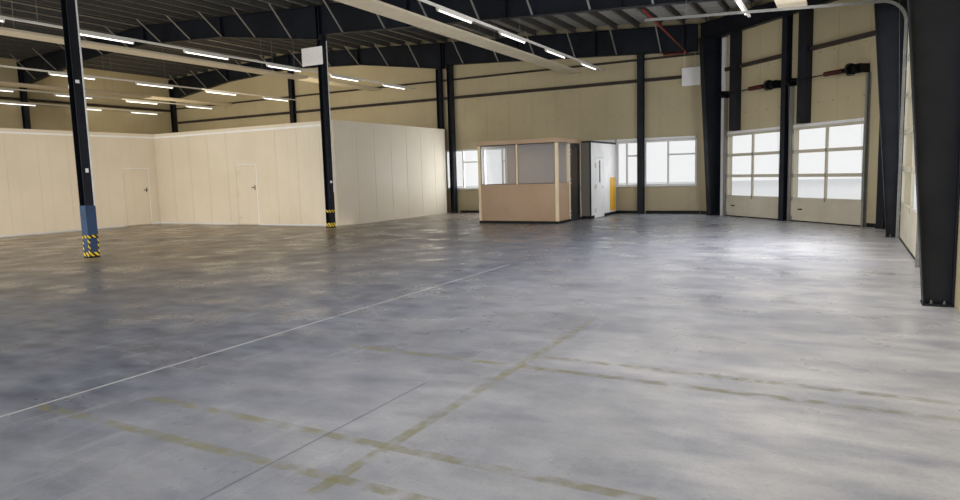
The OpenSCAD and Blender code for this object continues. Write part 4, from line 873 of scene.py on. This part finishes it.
def drawDoorFrames(bm):
    # flat frame profile at the lock side and the head of the enclosure's two doorways
    wide, thick, gap, low = doorway["profile"], doorway["thick"], doorway["gap"], floorTop + doorway["low"]
    head = floorTop + doorway["high"]
    x, stop = longHigh.x, frontLow.y - doorway["fromCorner"]
    addBox(bm, (x, stop + gap, low), (x + thick, stop + wide, head + wide))
    addBox(bm, (x, stop - doorway["wide"], head + gap), (x + thick, stop + doorway["headPast"], head + wide))
    y, left, right = frontLow.y, frontDoorLow.x + doorway["frontStart"], frontDoorHigh.x
    addBox(bm, (right + doorway["frontGap"], y - thick, low), (right + wide, y, head + wide))
    addBox(bm, (left, y - thick, head + gap), (right + gap, y, head + wide))


piece("enclosureTrim", "frameWhite", drawEnclosureTrim)
piece("enclosureDoorFrames", "frameWhite", drawDoorFrames)

lever = {"inset": 0.087, "height": 1.35, "cover": 0.0115, "reach": 0.12, "from": 0.0235, "to": 0.0465,
         "plateWide": 0.022, "plateHigh": 0.095, "plateThick": 0.006, "plateTaper": 0.96}


def drawLever(bm, origin, across, out):
    # oval plate and black covers over neck and grip; across points to the hinges, out away from the leaf
    origin, across, out = Vector(origin), Vector(across), Vector(out)
    turn = Matrix.Identity(4)
    turn.col[0], turn.col[1], turn.col[2] = (*across, 0), (0, 0, 1, 0), (*out, 0)
    turn = Matrix.Translation(origin) @ turn
    oval = Matrix.Diagonal((lever["plateWide"], lever["plateHigh"], 1, 1))
    bmesh.ops.create_cone(bm, cap_ends=True, segments=24, radius1=1, radius2=lever["plateTaper"],
                          depth=lever["plateThick"],
                          matrix=turn @ Matrix.Translation((0, 0, lever["plateThick"] / 2)) @ oval)
    addRod(bm, origin, origin + out * lever["to"], lever["cover"])
    length, depth, wide = lever["reach"] + 2 * lever["cover"], lever["to"] - lever["from"], 2 * lever["cover"]
    grip = turn @ Matrix.Translation((length / 2 - lever["cover"], 0, (lever["from"] + lever["to"]) / 2))
    bmesh.ops.create_cube(bm, size=1, matrix=grip @ Matrix.Diagonal((length, wide, depth, 1)))


handles = {
    "enclosure_long_door": ("longDoorHandle", (longHigh.x, longDoorHigh.y - lever["inset"]),
                            (0, -1, 0), (1, 0, 0)),
    "enclosure_front_door": ("frontDoorHandle", (frontDoorHigh.x - lever["inset"], frontLow.y),
                             (-1, 0, 0), (0, -1, 0)),
}
for bodyName, (pieceName, spot, across, out) in handles.items():
    origin = (*spot, floorTop + lever["height"])
    piece(pieceName, "black", lambda bm: drawLever(bm, origin, across, out), body=bodyName)

storeDoorLow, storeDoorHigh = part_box("store_door")
store = {"angle": 0.04, "angleThick": 0.002, "low": 0.001, "gap": 0.001, "strip": 0.1, "stripThick": 0.0015,
         "hingeSide": 0.12, "lockSide": 0.02}
# From the store's far end, over the floor; from the door's near edge, over the floor
stripe = {"near": 0.75, "far": 0.12, "low": 0.15, "high": 1.35, "thick": 0.003}
doorSlot = {"near": 0.38, "far": 0.52, "low": 1.2, "high": 1.95, "thick": 0.002}


def drawStoreTrim(bm):
    # a corner angle and the base strip of the store cabin
    x, y, angle, thick = storeHigh.x, storeLow.y, store["angle"], store["angleThick"]
    low, high = floorTop + store["low"], storeHigh.z
    addBox(bm, (x - angle, y - thick, low), (x + thick, y, high))
    addBox(bm, (x, y, low), (x + thick, y + angle, high))
    high, thick, past = low + store["strip"], store["stripThick"], angle + store["gap"]
    addBox(bm, (storeLow.x, y - thick, low), (x - past, y, high))
    addBox(bm, (x, y + past, low), (x + thick, storeDoorLow.y - store["hingeSide"], high))
    addBox(bm, (x, storeDoorHigh.y + store["lockSide"], low), (x + thick, storeHigh.y, high))


def drawStoreStripe(bm):
    addBox(bm, (storeHigh.x, storeHigh.y - stripe["near"], floorTop + stripe["low"]),
           (storeHigh.x + stripe["thick"], storeHigh.y - stripe["far"], floorTop + stripe["high"]))


def drawStoreSlot(bm):
    addBox(bm, (storeHigh.x, storeDoorLow.y + doorSlot["near"], floorTop + doorSlot["low"]),
           (storeHigh.x + doorSlot["thick"], storeDoorLow.y + doorSlot["far"], floorTop + doorSlot["high"]))


piece("storeTrim", "black", drawStoreTrim)
piece("storeStripe", "yellowSheet", drawStoreStripe)
piece("storeDoorSlot", "darkPane", drawStoreSlot, body="store_door")

# How far an outer face runs past the inner one at a 45 degree corner, and the ends of the outer faces
mitre = wallThick * math.tan(math.radians(22.5))
cornerOuter = rightFace - cornerCut + mitre
cutEnd = farOuter - (rightOuter - cornerOuter)
plinth = {"top": 0.3, "low": 0.004, "thick": 0.008, "corner": 0.004, "doorGap": 0.08, "nearIn": 0.06,
          "cutIn": 0.01}
outerTrim = {"wide": 0.07, "thick": 0.01, "low": 0.004, "headIn": 0.0005, "sillHigh": 0.03, "sillOut": 0.024,
             "sillGap": 0.0005}
windowTrim = {"bandStart": -0.15, "bandWide": 8.235, "lastStart": 8.295, "lastIn": 0.004, "lastWide": 1.842}
outerAngle = {"wide": 0.12, "thick": 0.003, "gap": 0.002, "underTrim": 0.01, "leastTop": 6.0}


def drawPlinth(bm):
    # dark base flashing outside, broken at the gate
    thick, gap = plinth["thick"], plinth["corner"]
    low, top = floorTop + plinth["low"], floorTop + plinth["top"]
    addBox(bm, (leftOuter + gap, farOuter, low), (cornerOuter - gap, farOuter + thick, top))
    addBox(bm, (rightOuter, cadLow.y + plinth["nearIn"], low),
           (rightOuter + thick, gateNear - plinth["doorGap"], top))
    addBox(bm, (rightOuter, gateNear + gate["width"] + plinth["doorGap"], low),
           (rightOuter + thick, cutEnd - gap, top))


def drawCutPlinth(bm):
    # the same on the cut wall, broken at the two loading doors
    low, top, gap = floorTop + plinth["low"], floorTop + plinth["top"], plinth["doorGap"]
    starts = [-mitre + plinth["cutIn"]] + [start + dock["width"] + gap for start in dockStarts]
    stops = [start - gap for start in dockStarts] + [cutLength + mitre - plinth["cutIn"]]
    for start, stop in zip(starts, stops):
        addBox(bm, (start, wallThick, low), (stop, wallThick + plinth["thick"], top))


def openingTrim(bm, x, width, low, high, y, sill=False):
    # flat profile round an opening in a wall's own frame, y is the outer face
    w, t, headIn = outerTrim["wide"], outerTrim["thick"], outerTrim["headIn"]
    addBox(bm, (x - w, y, low), (x, y + t, high + w))
    addBox(bm, (x + width, y, low), (x + width + w, y + t, high + w))
    addBox(bm, (x + headIn, y, high), (x + width - headIn, y + t, high + w))
    if sill:
        addBox(bm, (x - w, y, low - outerTrim["sillHigh"]),
               (x + width + w, y + outerTrim["sillOut"], low - outerTrim["sillGap"]))


def drawCutTrims(bm):
    low, high = floorTop + outerTrim["low"], floorTop + dock["height"]
    for start in dockStarts:
        openingTrim(bm, start, dock["width"], low, high, wallThick)


def drawGateTrim(bm):
    openingTrim(bm, 0, gate["width"], floorTop + outerTrim["low"], floorTop + gate["height"], wallThick)


def drawWindowTrims(bm):
    low, high = floorTop + windows["sill"], floorTop + windows["head"]
    last = lineB + windowTrim["lastStart"] + windowTrim["lastIn"]
    openingTrim(bm, lineB + windowTrim["bandStart"], windowTrim["bandWide"], low, high, farOuter, True)
    openingTrim(bm, last, windowTrim["lastWide"], low, high, farOuter, True)


def drawOuterAngles(bm):
    # folded corner flashings from the plinth to the eaves
    wide, thick, gap = outerAngle["wide"], outerAngle["thick"], outerAngle["gap"]
    low = floorTop + plinth["top"]
    top = max(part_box("roof_trim")[0].z - outerAngle["underTrim"], floorTop + outerAngle["leastTop"])
    addBox(bm, (leftOuter, farOuter, low), (leftOuter + wide, farOuter + thick, top))
    addBox(bm, (cornerOuter - wide, farOuter, low), (cornerOuter - gap, farOuter + thick, top))
    addBox(bm, (rightOuter, cutEnd - wide, low), (rightOuter + thick, cutEnd - gap, top))


piece("outerPlinth", "trim", drawPlinth)
piece("cutPlinth", "trim", drawCutPlinth, place=cutFrame)
piece("loadingDoorTrims", "trim", drawCutTrims, place=cutFrame)
piece("gateTrim", "trim", drawGateTrim, place=gateFrame)
piece("windowTrims", "trim", drawWindowTrims)
piece("outerAngles", "trim", drawOuterAngles)

officeLow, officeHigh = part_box("office_roof")
baseLow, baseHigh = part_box("office_base")
glassLow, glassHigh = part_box("office_glass")
bead = {"wide": 0.014, "thick": 0.001, "clear": 0.002, "deepIn": 0.0235, "cornerPost": 0.09,
        "middlePost": 0.031}
drip = {"high": 0.012, "thick": 0.002}


def drawOfficeTrim(bm):
    # rubber beads round the panes, and the drip edge under the roof board
    y, clear, wide, thick = baseLow.y + bead["deepIn"], bead["clear"], bead["wide"], bead["thick"]
    middle = (baseLow.x + baseHigh.x) / 2
    for low, high in ((baseLow.x + bead["cornerPost"], middle - bead["middlePost"]),
                      (middle + bead["middlePost"], baseHigh.x - bead["cornerPost"])):
        for z in (glassLow.z, glassHigh.z - wide):
            addBox(bm, (low + clear, y, z), (high - clear, y + thick, z + wide))
        for x in (low + clear, high - clear - wide):
            addBox(bm, (x, y, glassLow.z), (x + wide, y + thick, glassHigh.z))
    addBox(bm, (officeLow.x, officeLow.y - drip["thick"], officeLow.z),
           (officeHigh.x, officeLow.y, officeLow.z + drip["high"]))
    addBox(bm, (officeHigh.x, officeLow.y, officeLow.z),
           (officeHigh.x + drip["thick"], officeHigh.y, officeLow.z + drip["high"]))


piece("officeTrim", "black", drawOfficeTrim)
print("detail pieces ready")

view = {"fromLineB": 14.77, "beforeRow1": 9.0, "eyeHeight": 1.609, "turnLeft": 28.548, "down": 6.451,
        "roll": -1.615, "lens": 25.237, "sensor": 36, "near": 0.05, "far": 500}


def makeCamera():
    camera = bpy.data.objects.new("camera", bpy.data.cameras.new("camera"))
    camera.data.sensor_width = view["sensor"]
    camera.data.lens = view["lens"]
    camera.data.clip_start, camera.data.clip_end = view["near"], view["far"]
    turn = Matrix.Rotation(math.radians(view["turnLeft"]), 4, "Z")
    tip = Matrix.Rotation(math.radians(90 - view["down"]), 4, "X")
    roll = Matrix.Rotation(math.radians(view["roll"]), 4, "Z")
    place = (lineB + view["fromLineB"], rows[1] - view["beforeRow1"], floorTop + view["eyeHeight"])
    camera.matrix_world = Matrix.Translation(place) @ turn @ tip @ roll
    bpy.context.scene.collection.objects.link(camera)
    bpy.context.scene.camera = camera


studio = {"light": "#F4F6FA", "strength": 0.9, "shown": "#FFFFFF", "floor": "#E4E4E2", "floorSize": 160,
          "floorDrop": 0.002}


def makeStudio():
    # plain white for the camera and in reflections, soft grey-blue light on everything else
    scene = bpy.context.scene
    scene.view_settings.view_transform = "Standard"
    world = bpy.data.worlds.new("plainWhite")
    scene.world = world
    world.use_nodes = True
    tree = world.node_tree
    path = addNode(tree, "LightPath")
    seen = addNode(tree, "Math", {0: path.outputs["Is Camera Ray"], 1: path.outputs["Is Glossy Ray"]},
                   operation="MAXIMUM")
    seen = addNode(tree, "Math", {0: seen.outputs[0], 1: path.outputs["Is Transmission Ray"]},
                   operation="MAXIMUM")
    soft = addNode(tree, "Background", {"Color": linearOf(studio["light"]), "Strength": studio["strength"]})
    shown = addNode(tree, "Background", {"Color": linearOf(studio["shown"]), "Strength": 1.0})
    mix = addNode(tree, "MixShader", {0: seen.outputs[0], 1: soft.outputs[0], 2: shown.outputs[0]})
    tree.links.new(mix.outputs[0], tree.nodes["World Output"].inputs["Surface"])
    half = studio["floorSize"] / 2
    mesh = bpy.data.meshes.new("stageFloor")
    corners = [(-half, -half, 0), (half, -half, 0), (half, half, 0), (-half, half, 0)]
    mesh.from_pydata(corners, [], [(0, 1, 2, 3)])
    ground = bpy.data.objects.new("stageFloor", mesh)
    ground.location.z = -studio["floorDrop"]
    scene.collection.objects.link(ground)
    mesh.materials.append(newFinish("stagePaper", studio["floor"], 0.9)[0])


# Where each lamp stands, what it is aimed at, its size, watts and tint
lamps = {
    "openSide": ((-6, -12.9, 4.4), (-6, 4, 5.6), (20, 6), 1300, "#FFFFFF"),
    "leftAisle": ((-8, -1, 5.0), (-8.001, -1, 0), (15, 20), 400, "#FFF0DC"),
    "rightAisle": ((12.5, -4, 5.2), (12.501, -4, 0), (5.5, 13), 680, "#FAF8FF"),
    "leftBounce": ((-8, -2, floorTop + 0.04), (-8.001, -2, 6), (15, 18), 520, "#FFF4E6"),
    "rightBounce": ((8.5, -2, floorTop + 0.04), (8.501, -2, 6), (13, 18), 320, "#F2F6FF"),
    "gateDaylight": ((rightFace - 0.85, gateNear + 2.2, 3.3), (lineB, gateNear + 1.2, 2.2), (4.2, 2.6),
                     480, "#F2F3FF"),
    "windowDaylight": ((lineB + 9.2, farFace - 0.25, 2.05), (lineB + 8.2, -4, 1), (1.7, 1.4), 90, "#F2F7FF"),
    "bandDaylight": ((lineB + 2.4, farFace - 0.25, 2.0), (lineB - 0.4, farFace - 4.5, 1.6), (2.6, 1.4),
                     120, "#F4F8FF"),
    "overEnclosure": ((-8, 7.4, 3.9), (-8, 10.8, 7.2), (15, 5), 430, "#FFF2DC"),
    "outsideLeft": ((-40, -30, 26), (0, 0, 3), (20, 20), 3500, "#FFFFFF"),
    "outsideFar": ((30, 40, 26), (0, 0, 3), (20, 20), 3500, "#FFFFFF"),
}


def softLamp(name, place, target, size, watts, tint):
    data = bpy.data.lights.new(name, "AREA")
    data.shape, data.size, data.size_y = "RECTANGLE", size[0], size[1]
    data.energy = watts
    data.color = linearOf(tint)[:3]
    lamp = bpy.data.objects.new(name, data)
    lamp.location = place
    lamp.rotation_mode = "QUATERNION"
    lamp.rotation_quaternion = (Vector(target) - Vector(place)).to_track_quat("-Z", "Y")
    lamp.visible_camera = False
    lamp.visible_glossy = False
    bpy.context.scene.collection.objects.link(lamp)


makeCamera()
makeStudio()
for lampName, settings in lamps.items():
    softLamp(lampName, *settings)
print("camera and studio ready")
